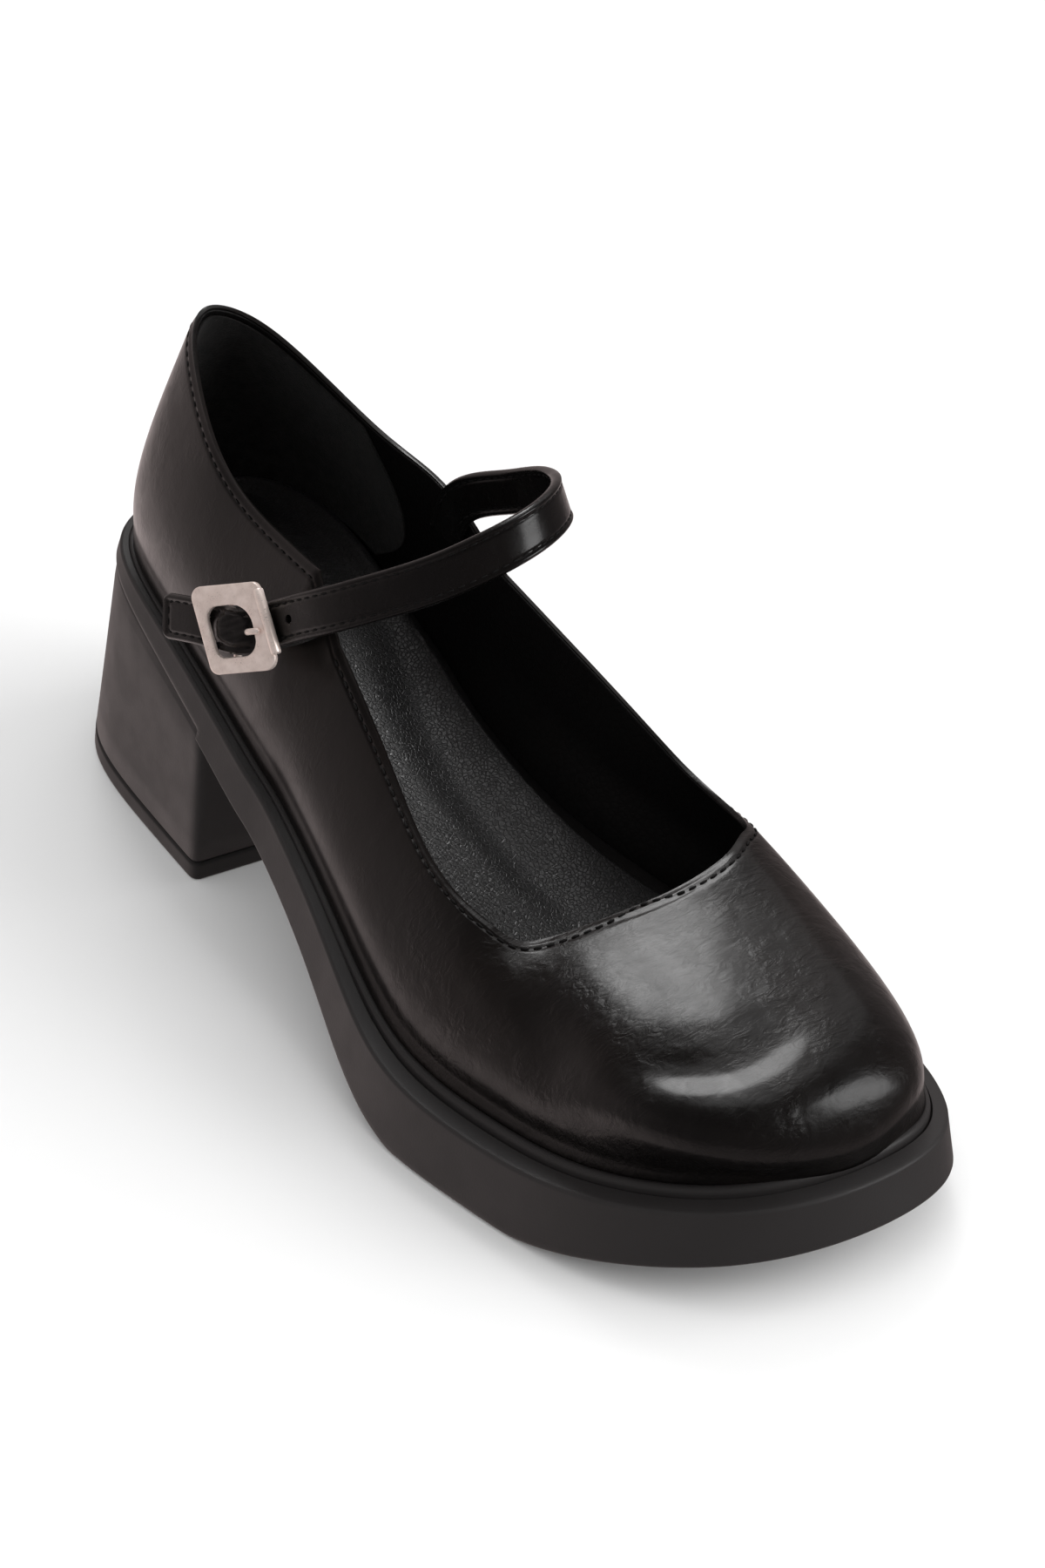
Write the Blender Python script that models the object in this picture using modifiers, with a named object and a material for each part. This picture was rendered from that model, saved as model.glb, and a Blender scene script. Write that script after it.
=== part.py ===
"""Mary Jane shoe for the right foot: a square-toed leather upper on a platform sole with a block heel.

The toe points to -Y, the heel to +Y, the outer (lateral) side of the foot to -X, and the floor is z = 0.
Tables and sizes are in millimetres, and every mesh is made in metres.
"""

import math

import bmesh
import bpy
import numpy as np
from mathutils import Matrix, Vector

MM = 0.001

# ---------------------------------------------------------------------------------------------
# Driving dimensions, in millimetres
# ---------------------------------------------------------------------------------------------

# Shell of the upper.
WALL = 1.8                  # leather and lining together
CLEARANCE = 0.3             # between neighbouring pieces
FOOT_LIFT = 0.8             # the upper's visible foot above the sole's ledge
SEAT_DEPTH = 1.5            # the seat for the upper and insole, under the ledge
SEAT_GAP = 0.4              # measured straight up, which leaves the clearance on the slope

# Sole.
WALL_FLARE = 2.0            # the sole's side wall stands this far out at its bottom
EDGE_ROUND = 0.6            # rounding of the ledge's outer edge
TREAD_ROUND = 1.2           # rounding of the tread's edge
BEAD_HEIGHT = 1.8           # the moulded bead between ledge and upper

# Heel.
BREAST_Y = 55.8             # front face of the heel on the outer side, at the floor
BREAST_SKEW = math.radians(5.1)
HEEL_STEP = 0.8             # the heel block sits in from the sole's wall
HEEL_FLARE_OUTER = 2.6      # the block's bottom stands out by this much at the outer front,
HEEL_FLARE_BACK = 6.8       # at the back,
HEEL_FLARE_INNER = 3.0      # and at the inner front
HEEL_BACK_Y = 118.0
HEEL_OVERLAP = 3.0          # how far the block runs up into the sole before the two are joined
TOP_LIFT = 4.5              # thickness of the heel's bottom layer

# Insole.
INSOLE_RISE = 2.2           # top of the insole over the ledge
INSOLE_HEEL_RISE = 1.6      # extra height under the heel
INSOLE_EDGE_ROUND = 0.7
INSOLE_DISH = 0.5           # its middle lies this much lower than its rim
INSOLE_DISH_WIDTH = 4.5

# Strap, elastic and buckle.
STRAP_WIDTH = 10.0
STRAP_THICKNESS = 2.0
STRAP_TIP_LENGTH = 4.0      # the rounded end of the strap
ELASTIC_WIDTH = 9.6
ELASTIC_THICKNESS = 1.0
HOLE_RADIUS = 1.35
SPARE_HOLE_STEP = 10.5      # from the hole in use to the spare one
PLATE_TOP = 19.4            # upper edge of the buckle's plate
PLATE_BOTTOM = 16.0         # lower edge
PLATE_HEIGHT = 18.6
PLATE_THICKNESS = 1.6
PLATE_CORNER = 3.0
WINDOW_LENGTH = 10.6
WINDOW_HEIGHT = 11.4
PLATE_CHAMFER = 0.3
FLANGE_WIDTH = 1.5          # raised rib along the plate's instep side
FLANGE_HEIGHT = 1.3
BAR_RADIUS = 0.9
BAR_X = -3.5                # hinge bar, behind the plate's middle
BAR_DEPTH = 6.6
LUG_WIDTH = 1.3
PRONG_RADIUS = 0.75
PRONG_REACH = 6.5           # the prong's tip, on the plate's instep side

# Shared layout of the meshes.
STEPS_PER_SECTION = 4
UPPER_ROWS = 11

# One row for each section of the last, from the back of the heel round the outer side and the toe:
# the sole's edge (x, y), how far in the upper's foot stands, the topline (x, y, z), then the
# section's curve: height of its lower handle, its lean outwards, how far the top handle reaches
# towards the foot (as a share of the way), and its drop under the topline.
SECTION_COLUMNS = ("edge_x", "edge_y", "inset", "top_x", "top_y", "top_z", "rise", "lean", "reach", "drop")
SECTIONS = (
    ("heel_back",        -0.5,  122.5,  4.5,  -0.5,  108.5, 111.5, 14, 2.5, 0.70, 20),
    ("heel_back_lat",   -17.5,  117.5,  4.5,  -7.5,  106.0, 110.0, 14, 3.0, 0.65, 21),
    ("heel_lat",        -27.5,  102.5,  4.5, -13.5,   96.0, 105.0, 14, 3.0, 0.65, 19),
    ("heel_side_lat",   -32.5,   78.5,  4.5, -19.0,   80.0,  97.0, 14, 2.5, 0.70, 17),
    ("breast_lat",      -36.0,   55.0,  5.0, -20.5,   62.0,  90.5, 13, 1.5, 0.70, 15),
    ("strap_back_lat",  -38.5,   36.5,  5.5, -21.0,   35.0,  89.0, 13, 1.0, 0.65, 14),
    ("strap_front_lat", -40.0,   23.5,  5.5, -23.0,   23.5,  76.5, 13, 1.0, 0.60, 12),
    ("shank_lat",       -46.5,   -7.0,  6.5, -26.5,   -1.0,  63.0, 13, 1.0, 0.60, 10),
    ("ball_rear_lat",   -52.0,  -37.0,  9.0, -31.0,  -25.0,  53.5, 14, 1.5, 0.60, 8),
    ("ball_lat",        -49.5,  -64.0, 10.5, -29.0,  -44.0,  49.5, 16, 3.0, 0.70, 6),
    ("toe_side_lat",    -43.5,  -89.0, 10.5, -22.5,  -50.0,  48.0, 19, 5.5, 0.85, 4),
    ("toe_corner_lat",  -31.5, -110.0, 10.5, -14.5,  -52.5,  48.5, 21, 8.0, 1.00, 3),
    ("toe_front_lat",   -16.0, -122.5, 10.5,  -5.0,  -55.0,  50.5, 22, 8.0, 1.05, 4),
    ("toe_tip",           4.0, -127.5, 10.0,   4.5,  -57.0,  52.5, 23, 6.0, 1.00, 6),
    ("toe_front_med",    25.5, -124.0,  8.5,  14.0,  -57.5,  54.5, 22, 4.0, 0.85, 8),
    ("toe_corner_med",   38.5, -110.0,  6.5,  22.0,  -56.0,  56.0, 19, 2.0, 0.72, 10),
    ("toe_side_med",     45.5,  -88.5,  6.5,  28.5,  -52.0,  55.5, 17, 1.5, 0.65, 9),
    ("ball_med",         47.0,  -61.0,  6.5,  33.0,  -46.5,  54.0, 16, 2.0, 0.60, 8),
    ("ball_rear_med",    42.5,  -32.0,  5.5,  34.0,  -28.0,  54.0, 15, 2.5, 0.50, 10),
    ("shank_med",        28.5,   -3.5,  4.0,  30.5,   -8.0,  62.0, 14, 3.0, 0.40, 12),
    ("strap_front_med",  24.5,   27.0,  3.0,  25.5,   29.5,  75.0, 14, 3.0, 0.38, 13),
    ("strap_back_med",   25.5,   42.0,  3.0,  24.0,   45.5,  85.5, 14, 3.0, 0.42, 14),
    ("breast_med",       26.5,   57.0,  3.5,  24.0,   57.5,  87.5, 14, 2.5, 0.55, 15),
    ("heel_side_med",    28.5,   78.0,  3.5,  21.5,   73.0,  90.5, 14, 2.5, 0.65, 16),
    ("heel_med",         26.0,  102.5,  3.5,  16.0,   90.0,  99.0, 14, 2.5, 0.70, 17),
    ("heel_back_med",    15.5,  118.0,  4.0,   9.0,  103.5, 107.0, 14, 2.5, 0.72, 19),
)

# Along the length: height of the sole's ledge and of its tread. The tread is flat on the floor
# wherever its curve would pass under it.
PROFILE_COLUMNS = ("y", "ledge", "tread")
PROFILE = (
    (-130.0, 25.4, 14.0),
    (-110.0, 21.2,  8.0),
    (-95.0,  18.6,  3.6),
    (-80.0,  16.8,  0.2),
    (-63.0,  16.0, -1.2),
    (-45.0,  17.0, -0.2),
    (-30.0,  20.0,  4.4),
    (-15.0,  25.6, 12.2),
    (0.0,    31.6, 20.0),
    (28.0,   40.2, 29.8),
    (58.0,   48.2, 38.4),
    (90.0,   53.8, 44.0),
    (125.0,  56.6, 46.6),
)

# The sole's upper face, from its outer edge (0) to the foot of the upper (1): share of the inset,
# and height over the ledge.
SOLE_FACE_COLUMNS = ("share", "height")
SOLE_FACE = (
    (0.06,  0.0),
    (0.44,  0.0),
    (0.49, -0.8),
    (0.54,  1.1),
    (0.60,  BEAD_HEIGHT),
    (0.70,  BEAD_HEIGHT),
    (0.76,  1.1),
    (0.79, -SEAT_DEPTH),
)

# Middle line of the strap, from its stitched end inside the inner wall over the instep to the
# buckle, with the direction of the strap's width.
STRAP_COLUMNS = ("x", "y", "z", "width_x", "width_y", "width_z")
STRAP_ROUTE = (
    (20.6, 46.5,  77.5, -0.05, 0.62, 0.78),
    (21.0, 43.8,  86.0, -0.05, 0.60, 0.80),
    (24.6, 30.0,  96.0, -0.06, 0.55, 0.83),
    (24.8, 16.5, 104.0, -0.08, 0.50, 0.86),
    (21.0,  6.5, 108.5, -0.08, 0.47, 0.88),
    (14.5,  0.0, 110.5, -0.06, 0.45, 0.89),
    (6.0,  -3.5, 110.5, -0.04, 0.45, 0.89),
    (-3.5, -3.0, 108.0, -0.02, 0.50, 0.86),
    (-13.0, 1.0, 103.5,  0.00, 0.57, 0.82),
    (-22.0, 9.0,  97.5,  0.05, 0.60, 0.79),
    (-30.0, 20.0, 90.0,  0.10, 0.62, 0.77),
)
STRAP_TIP = (-44.0, 58.5, 71.7)

# The buckle's plate: its middle, the way it faces, and the way to the instep.
BUCKLE_PLACE = Vector((-40.5, 37.8, 79.5))
BUCKLE_FACING = Vector((-0.85, -0.30, 0.42))
BUCKLE_TO_INSTEP = Vector((0.47, -0.79, 0.39))

# Colour, roughness and metallic value of each material.
MATERIALS = {
    "patent_leather": ((0.018, 0.015, 0.014, 1.0), 0.22, 0.0),
    "sole_rubber": ((0.030, 0.029, 0.030, 1.0), 0.62, 0.0),
    "lift_rubber": ((0.022, 0.022, 0.022, 1.0), 0.70, 0.0),
    "lining_leather": ((0.014, 0.012, 0.012, 1.0), 0.50, 0.0),
    "elastic_web": ((0.010, 0.010, 0.010, 1.0), 0.85, 0.0),
    "satin_nickel": ((0.62, 0.58, 0.54, 1.0), 0.32, 1.0),
}


# ---------------------------------------------------------------------------------------------
# Curves through named values
# ---------------------------------------------------------------------------------------------


def spline_through(places, values, closed=False):
    """A smooth cubic curve through the values at the places, as a function. A closed one repeats."""
    places = np.asarray(places, float)
    values = np.asarray(values, float)
    count = len(values)
    if closed:
        system = 4 * np.eye(count) + np.roll(np.eye(count), 1, 0) + np.roll(np.eye(count), -1, 0)
        right = 6 * (np.roll(values, -1, 0) - 2 * values + np.roll(values, 1, 0))
        gaps = np.ones(count)
    else:
        gaps = np.diff(places)
        system = np.eye(count)
        right = np.zeros_like(values)
        slopes = np.diff(values, axis=0) / gaps.reshape((-1,) + (1,) * (values.ndim - 1))
        for row in range(1, count - 1):
            system[row, row - 1] = gaps[row - 1]
            system[row, row] = 2 * (gaps[row - 1] + gaps[row])
            system[row, row + 1] = gaps[row]
            right[row] = 6 * (slopes[row] - slopes[row - 1])
    bends = np.linalg.solve(system, right)

    def at(where):
        where = np.asarray(where, float)
        if closed:
            low = np.floor(where).astype(int)
            part = where - low
            low, high = low % count, (low + 1) % count
            gap = np.ones_like(where)
        else:
            low = np.clip(np.searchsorted(places, where, side="right") - 1, 0, count - 2)
            high = low + 1
            gap = gaps[low]
            part = (where - places[low]) / gap
        rest = 1 - part
        if values.ndim > 1:
            part, rest, gap = part[..., None], rest[..., None], gap[..., None]
        line = rest * values[low] + part * values[high]
        bow = (rest**3 - rest) * bends[low] + (part**3 - part) * bends[high]
        return line + bow * gap**2 / 6

    return at


def columns(rows, names, wanted):
    """The wanted columns of a table, as an array."""
    skip = len(rows[0]) - len(names)
    picks = [skip + names.index(name) for name in wanted]
    return np.array([[row[pick] for pick in picks] for row in rows], float)


SECTION_COUNT = len(SECTIONS)
SECTION_ROWS = {row[0]: index for index, row in enumerate(SECTIONS)}
edge_at = spline_through(range(SECTION_COUNT), columns(SECTIONS, SECTION_COLUMNS, ("edge_x", "edge_y")), True)
form_at = spline_through(
    range(SECTION_COUNT),
    columns(SECTIONS, SECTION_COLUMNS, ("inset", "rise", "lean", "reach", "drop")),
    True,
)
PROFILE_Y = columns(PROFILE, PROFILE_COLUMNS, ("y",))[:, 0]
ledge_at = spline_through(PROFILE_Y, columns(PROFILE, PROFILE_COLUMNS, ("ledge",))[:, 0])
tread_curve_at = spline_through(PROFILE_Y, columns(PROFILE, PROFILE_COLUMNS, ("tread",))[:, 0])


def tread_at(y):
    """Height of the sole's underside, flat on the floor under the ball of the foot."""
    return np.maximum(tread_curve_at(y), 0.0)


def outward_at(turn):
    """Unit vector square to the sole's edge, pointing out."""
    step = 1e-3
    along = edge_at(turn + step) - edge_at(turn - step)
    along /= np.linalg.norm(along, axis=-1, keepdims=True)
    return np.stack([along[..., 1], -along[..., 0]], -1)


def topline_at(turn):
    """The topline: a throat, a collar, and the two steps between them that the strap crosses."""
    points = columns(SECTIONS, SECTION_COLUMNS, ("top_x", "top_y", "top_z"))
    back_lat, front_lat = SECTION_ROWS["strap_back_lat"], SECTION_ROWS["strap_front_lat"]
    front_med, back_med = SECTION_ROWS["strap_front_med"], SECTION_ROWS["strap_back_med"]
    throat = spline_through(range(front_lat, front_med + 1), points[front_lat : front_med + 1])
    collar_rows = list(range(back_med, SECTION_COUNT)) + list(range(0, back_lat + 1))
    collar = spline_through(range(back_med, SECTION_COUNT + back_lat + 1), points[collar_rows])
    turn = np.asarray(turn, float) % SECTION_COUNT
    result = np.zeros(turn.shape + (3,))
    in_throat = (turn >= front_lat) & (turn <= front_med)
    result[in_throat] = throat(turn[in_throat])
    in_back = turn >= back_med
    result[in_back] = collar(turn[in_back])
    in_start = turn <= back_lat
    result[in_start] = collar(turn[in_start] + SECTION_COUNT)
    for first, last in ((back_lat, front_lat), (front_med, back_med)):
        in_step = (turn > first) & (turn < last)
        share = ((turn[in_step] - first) / (last - first))[:, None]
        result[in_step] = points[first] + (points[last] - points[first]) * share
    return result


def upper_surface(turns, heights):
    """Grid of points on the upper's outer face: each turn round the shoe, at each height 0 to 1."""
    turns = np.asarray(turns, float)
    edge = edge_at(turns)
    outward = outward_at(turns)
    inset, rise, lean, reach, drop = form_at(turns).T[:, :, None]
    foot = np.column_stack([edge - outward * inset, ledge_at(edge[:, 1]) + FOOT_LIFT])
    top = topline_at(turns)
    low_handle = foot + np.column_stack([outward * lean, rise])
    top_handle = top + np.column_stack([(foot - top)[:, :2] * reach, -drop])
    share = np.asarray(heights, float)[None, :, None]
    rest = 1 - share
    corners = [point[:, None, :] for point in (foot, low_handle, top_handle, top)]
    weights = (rest**3, 3 * rest**2 * share, 3 * rest * share**2, share**3)
    return sum(weight * corner for weight, corner in zip(weights, corners))


def beside_upper(turn, height, offset):
    """A point off the upper's outer face by the offset, which is negative inside."""
    step = 1e-3
    around = upper_surface([turn + step], [height])[0, 0] - upper_surface([turn - step], [height])[0, 0]
    upward = upper_surface([turn], [height + step])[0, 0] - upper_surface([turn], [height - step])[0, 0]
    square = np.cross(around, upward)
    square /= np.linalg.norm(square)
    return upper_surface([turn], [height])[0, 0] + square * offset


# ---------------------------------------------------------------------------------------------
# Meshes
# ---------------------------------------------------------------------------------------------


def clear_scene():
    """Remove the objects that the file opens with."""
    for thing in list(bpy.data.objects):
        bpy.data.objects.remove(thing, do_unlink=True)


def new_collection(name):
    """A collection in the scene."""
    collection = bpy.data.collections.new(name)
    bpy.context.scene.collection.children.link(collection)
    return collection


def make_materials():
    """One Principled material for each entry of MATERIALS."""
    made = {}
    for name, (colour, roughness, metallic) in MATERIALS.items():
        material = bpy.data.materials.new(name)
        material.use_nodes = True
        shader = material.node_tree.nodes["Principled BSDF"]
        shader.inputs["Base Color"].default_value = colour
        shader.inputs["Roughness"].default_value = roughness
        shader.inputs["Metallic"].default_value = metallic
        made[name] = material
    return made


def loft(bm, rings, ring_closed=True, loop_back=False):
    """Join rings of points, in millimetres, with strips of faces. Returns the rings' vertices."""
    rows = [[bm.verts.new(Vector(point) * MM) for point in ring] for ring in rings]
    pairs = list(zip(rows, rows[1:]))
    if loop_back:
        pairs.append((rows[-1], rows[0]))
    for low, high in pairs:
        count = len(low)
        for index in range(count if ring_closed else count - 1):
            after = (index + 1) % count
            bm.faces.new((low[index], low[after], high[after], high[index]))
    return rows


def ladder_cap(bm, row):
    """Close a ring that is a mirror pair of sides with rungs from one side to the other."""
    count = len(row)
    bm.faces.new((row[0], row[1], row[-1]))
    for index in range(1, count // 2 - 1):
        bm.faces.new((row[index], row[index + 1], row[count - index - 1], row[count - index]))
    middle = count // 2
    bm.faces.new((row[middle - 1], row[middle], row[middle + 1]))


def finish(bm, name, material, collection, smooth_angle=40.0):
    """Turn a bmesh into an object with outward faces."""
    bmesh.ops.recalc_face_normals(bm, faces=bm.faces)
    mesh = bpy.data.meshes.new(name)
    bm.to_mesh(mesh)
    bm.free()
    mesh.shade_smooth()
    mesh.set_sharp_from_angle(angle=math.radians(smooth_angle))
    mesh.materials.append(material)
    thing = bpy.data.objects.new(name, mesh)
    collection.objects.link(thing)
    return thing


def add_cutter(thing, cutters):
    """Keep a helper out of the render and drawn as wires."""
    for owner in list(thing.users_collection):
        owner.objects.unlink(thing)
    cutters.objects.link(thing)
    thing.hide_render = True
    thing.display_type = "WIRE"


def combine(thing, other, operation):
    """Add an exact Boolean of the other object."""
    modifier = thing.modifiers.new(f"{operation.lower()}_{other.name}", "BOOLEAN")
    modifier.operation = operation
    modifier.object = other
    modifier.solver = "EXACT"


# ---------------------------------------------------------------------------------------------
# Sole and heel
# ---------------------------------------------------------------------------------------------


def sole_ring(turns, share, height_over_ledge=None, height_over_tread=None, flare=0.0):
    """A ring of the sole: a share of the way in from its edge, or flared out from it."""
    edge = edge_at(turns)
    inset = form_at(turns)[:, :1]
    place = edge + outward_at(turns) * (flare - share * inset)
    if height_over_tread is None:
        height = ledge_at(edge[:, 1]) + height_over_ledge
    else:
        height = tread_at(edge[:, 1]) + height_over_tread
    return np.column_stack([place, height])


def make_sole_slab(material, collection):
    """Platform sole with its ledge, groove and bead, and the sunk seat for the upper."""
    turns = np.arange(SECTION_COUNT * STEPS_PER_SECTION) / STEPS_PER_SECTION
    rings = [
        sole_ring(turns, 0.0, height_over_tread=0.0, flare=WALL_FLARE - TREAD_ROUND),
        sole_ring(turns, 0.0, height_over_tread=TREAD_ROUND, flare=WALL_FLARE),
        sole_ring(turns, 0.0, height_over_ledge=-EDGE_ROUND, flare=0.0),
    ]
    rings += [sole_ring(turns, share, height_over_ledge=height) for share, height in SOLE_FACE]
    bm = bmesh.new()
    rows = loft(bm, rings)
    ladder_cap(bm, rows[0])
    ladder_cap(bm, rows[-1])
    return finish(bm, "sole_unit", material, collection)


def breast_line(x):
    """The y of the heel's front face at this x."""
    outer_x = SECTIONS[SECTION_ROWS["breast_lat"]][1]
    return BREAST_Y - math.tan(BREAST_SKEW) * (x - outer_x)


def breast_turn(start, end):
    """Where the sole's edge crosses the heel's front face, between two turns."""
    for _ in range(40):
        middle = (start + end) / 2
        x, y = edge_at(middle)
        if y > breast_line(x):
            start = middle
        else:
            end = middle
    return start


def heel_flare(x, y):
    """How far the heel block's bottom stands out from the sole's edge."""
    side = np.where(x < 0, HEEL_FLARE_OUTER, HEEL_FLARE_INNER)
    forward = np.clip(1 - (y - BREAST_Y) / (HEEL_BACK_Y - BREAST_Y), 0, 1)
    return side * forward + HEEL_FLARE_BACK * (1 - forward)


def heel_ring(flare_share, height, steps=44, front_steps=8):
    """Outline of the heel block: round the back, then straight along its front face."""
    outer_end = breast_turn(0.0, float(SECTION_ROWS["strap_back_lat"]))
    inner_end = breast_turn(float(SECTION_COUNT), float(SECTION_ROWS["strap_back_med"]))
    turns = np.linspace(inner_end, SECTION_COUNT + outer_end, steps)
    edge = edge_at(turns)
    start = WALL_FLARE - HEEL_STEP
    flare = start + (heel_flare(edge[:, 0], edge[:, 1]) - start) * flare_share
    round_back = edge + outward_at(turns) * flare[:, None]
    shares = np.linspace(0, 1, front_steps + 2)[1:-1, None]
    front = round_back[-1] + (round_back[0] - round_back[-1]) * shares
    outline = np.vstack([round_back, front])
    if height is None:
        heights = tread_at(outline[:, 1]) + HEEL_OVERLAP
    else:
        heights = np.full(len(outline), height)
    return np.column_stack([outline, heights])


def make_heel_block(material, collection):
    """The block under the heel, which runs up into the sole."""
    bm = bmesh.new()
    rows = loft(bm, [heel_ring(0.9, TOP_LIFT + CLEARANCE), heel_ring(0.0, None)])
    bm.faces.new(reversed(rows[0]))
    bmesh.ops.triangulate(bm, faces=[bm.faces.new(rows[-1])])
    return finish(bm, "heel_block", material, collection)


def make_top_lift(material, collection):
    """The wearing layer at the bottom of the heel."""
    bm = bmesh.new()
    rows = loft(bm, [heel_ring(0.93, 0.0), heel_ring(1.0, 0.6), heel_ring(0.9, TOP_LIFT)])
    bm.faces.new(reversed(rows[0]))
    bm.faces.new(rows[-1])
    return finish(bm, "heel_top_lift", material, collection)


# ---------------------------------------------------------------------------------------------
# Upper and insole
# ---------------------------------------------------------------------------------------------


def make_upper(material, collection):
    """The hollow upper: its outer face as an open surface, and a wall on the inner side."""
    turns = np.arange(SECTION_COUNT * STEPS_PER_SECTION) / STEPS_PER_SECTION
    grid = upper_surface(turns, np.linspace(0, 1, UPPER_ROWS))
    buried = grid[:, 0].copy()
    buried[:, 2] -= FOOT_LIFT + SEAT_DEPTH - SEAT_GAP
    rings = [buried] + [grid[:, row] for row in range(UPPER_ROWS)]
    bm = bmesh.new()
    loft(bm, rings)
    upper = finish(bm, "upper", material, collection)
    shell = upper.modifiers.new("wall", "SOLIDIFY")
    shell.thickness = WALL * MM
    shell.offset = -1.0
    shell.use_even_offset = True
    return upper


def make_insole(material, collection):
    """The insole, with a rounded rim and a slightly dished top."""
    turns = np.arange(SECTION_COUNT * STEPS_PER_SECTION) / STEPS_PER_SECTION
    edge = edge_at(turns)
    outward = outward_at(turns)
    inset = form_at(turns)[:, :1] + WALL + 2 * CLEARANCE
    under = ledge_at(edge[:, 1]) - SEAT_DEPTH + SEAT_GAP
    heel_share = np.clip((edge[:, 1] - BREAST_Y) / (HEEL_BACK_Y - BREAST_Y), 0, 1)
    over = ledge_at(edge[:, 1]) + INSOLE_RISE + INSOLE_HEEL_RISE * heel_share
    rings = []
    for further_in, height in (
        (0.0, under),
        (0.0, over - INSOLE_EDGE_ROUND),
        (INSOLE_EDGE_ROUND, over),
        (INSOLE_DISH_WIDTH, over - INSOLE_DISH),
    ):
        rings.append(np.column_stack([edge - outward * (inset + further_in), height]))
    bm = bmesh.new()
    rows = loft(bm, rings)
    ladder_cap(bm, rows[0])
    ladder_cap(bm, rows[-1])
    return finish(bm, "insole", material, collection)


# ---------------------------------------------------------------------------------------------
# Strap, elastic and buckle
# ---------------------------------------------------------------------------------------------


def buckle_matrix():
    """Place of the buckle: X to the instep, Y up across the strap, Z out from the foot."""
    facing = BUCKLE_FACING.normalized()
    up = facing.cross(BUCKLE_TO_INSTEP).normalized()
    to_instep = up.cross(facing)
    turn = Matrix((to_instep, up, facing)).transposed().to_4x4()
    return Matrix.Translation(BUCKLE_PLACE * MM) @ turn


def from_buckle(x, y, z):
    """A point given from the middle of the buckle's plate, in millimetres, as a place on the shoe."""
    return np.array(buckle_matrix() @ Vector((x * MM, y * MM, z * MM))) / MM


def ribbon_rings(route, widths, width, thickness, steps, tip=0.0):
    """Rings of a flat band along a route, with softened edges and, if asked, a rounded tip."""
    places = np.concatenate([[0], np.cumsum(np.linalg.norm(np.diff(route, axis=0), axis=1))])
    middle_at = spline_through(places, route)
    width_at = spline_through(places, widths)
    length = places[-1]
    stations = np.linspace(0, length, steps)
    if tip:
        fine = length - tip * (1 - np.sin(np.linspace(0.15, 1, 6) * math.pi / 2))
        stations = np.concatenate([stations[stations < length - tip], fine])
    soften = thickness * 0.3
    rings = []
    for station in stations:
        step = 1e-3
        along = middle_at(station + step) - middle_at(station - step)
        along /= np.linalg.norm(along)
        across = width_at(station)
        across = across - along * (across @ along)
        across /= np.linalg.norm(across)
        square = np.cross(along, across)
        half = width / 2
        if tip and station > length - tip:
            half *= math.sqrt(max(1 - ((station - length + tip) / tip) ** 2 * 0.92, 0.05))
        deep = thickness / 2
        outline = (
            (half, deep - soften), (half - soften, deep), (soften - half, deep), (-half, deep - soften),
            (-half, soften - deep), (soften - half, -deep), (half - soften, -deep), (half, soften - deep),
        )
        middle = middle_at(station)
        rings.append([middle + across * side + square * out for side, out in outline])
    return rings


def strap_route():
    """The strap's middle line and width directions, on past the buckle to its tip."""
    table = columns(STRAP_ROUTE, STRAP_COLUMNS, STRAP_COLUMNS)
    behind_plate = -(PLATE_THICKNESS + CLEARANCE + 0.2 + STRAP_THICKNESS / 2)
    through = [from_buckle(x, 0.0, behind_plate) for x in (8.0, 1.5, -5.5)]
    route = np.vstack([table[:, :3], through, [STRAP_TIP]])
    up = np.array(buckle_matrix().to_3x3() @ Vector((0, 1, 0)))
    widths = np.vstack([table[:, 3:], [up] * (len(through) + 1)])
    return route, widths


def cylinder_between(name, start, end, radius, sides=16):
    """A round bar from one point to another, in millimetres."""
    start, end = Vector(start), Vector(end)
    bpy.ops.mesh.primitive_cylinder_add(vertices=sides, radius=radius * MM, depth=(end - start).length * MM)
    bar = bpy.context.object
    bar.name = name
    bar.matrix_world = (
        Matrix.Translation((start + end) / 2 * MM) @ (end - start).to_track_quat("Z", "Y").to_matrix().to_4x4()
    )
    return bar


def make_strap(material, collection, cutters):
    """The strap, with the hole that the prong goes through and a spare one."""
    route, widths = strap_route()
    bm = bmesh.new()
    rows = loft(bm, ribbon_rings(route, widths, STRAP_WIDTH, STRAP_THICKNESS, 58, STRAP_TIP_LENGTH))
    bm.faces.new(reversed(rows[0]))
    bm.faces.new(rows[-1])
    strap = finish(bm, "strap", material, collection)
    hole_x, hole_z = prong_point(0.5)
    slope = prong_slope(0.5)
    reach = 2.8
    first = from_buckle(hole_x - slope[0] * reach, 0.0, hole_z - slope[1] * reach)
    last = from_buckle(hole_x + slope[0] * reach, 0.0, hole_z + slope[1] * reach)
    used = cylinder_between("strap_hole_used", first, last, HOLE_RADIUS)
    add_cutter(used, cutters)
    combine(strap, used, "DIFFERENCE")
    return strap


def prong_route():
    """Side view of the prong in the buckle's frame: from the hinge bar up over the instep side."""
    ring = BAR_RADIUS + CLEARANCE + 0.05 + PRONG_RADIUS
    hook = [math.radians(degrees) for degrees in (-88, -58, -28, 2)]
    route = [(BAR_X + ring * math.cos(angle), -BAR_DEPTH + ring * math.sin(angle)) for angle in hook]
    route += [(BAR_X + ring + 1.5, -BAR_DEPTH + 2.1), (2.9, -1.0), (4.6, PRONG_RADIUS + 0.4)]
    route.append((PRONG_REACH, PRONG_RADIUS + 0.3))
    return route


def prong_point(share):
    """Point of the prong's side view part of the way through the strap."""
    low, high = prong_route()[4], prong_route()[5]
    return low[0] + (high[0] - low[0]) * share, low[1] + (high[1] - low[1]) * share


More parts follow.
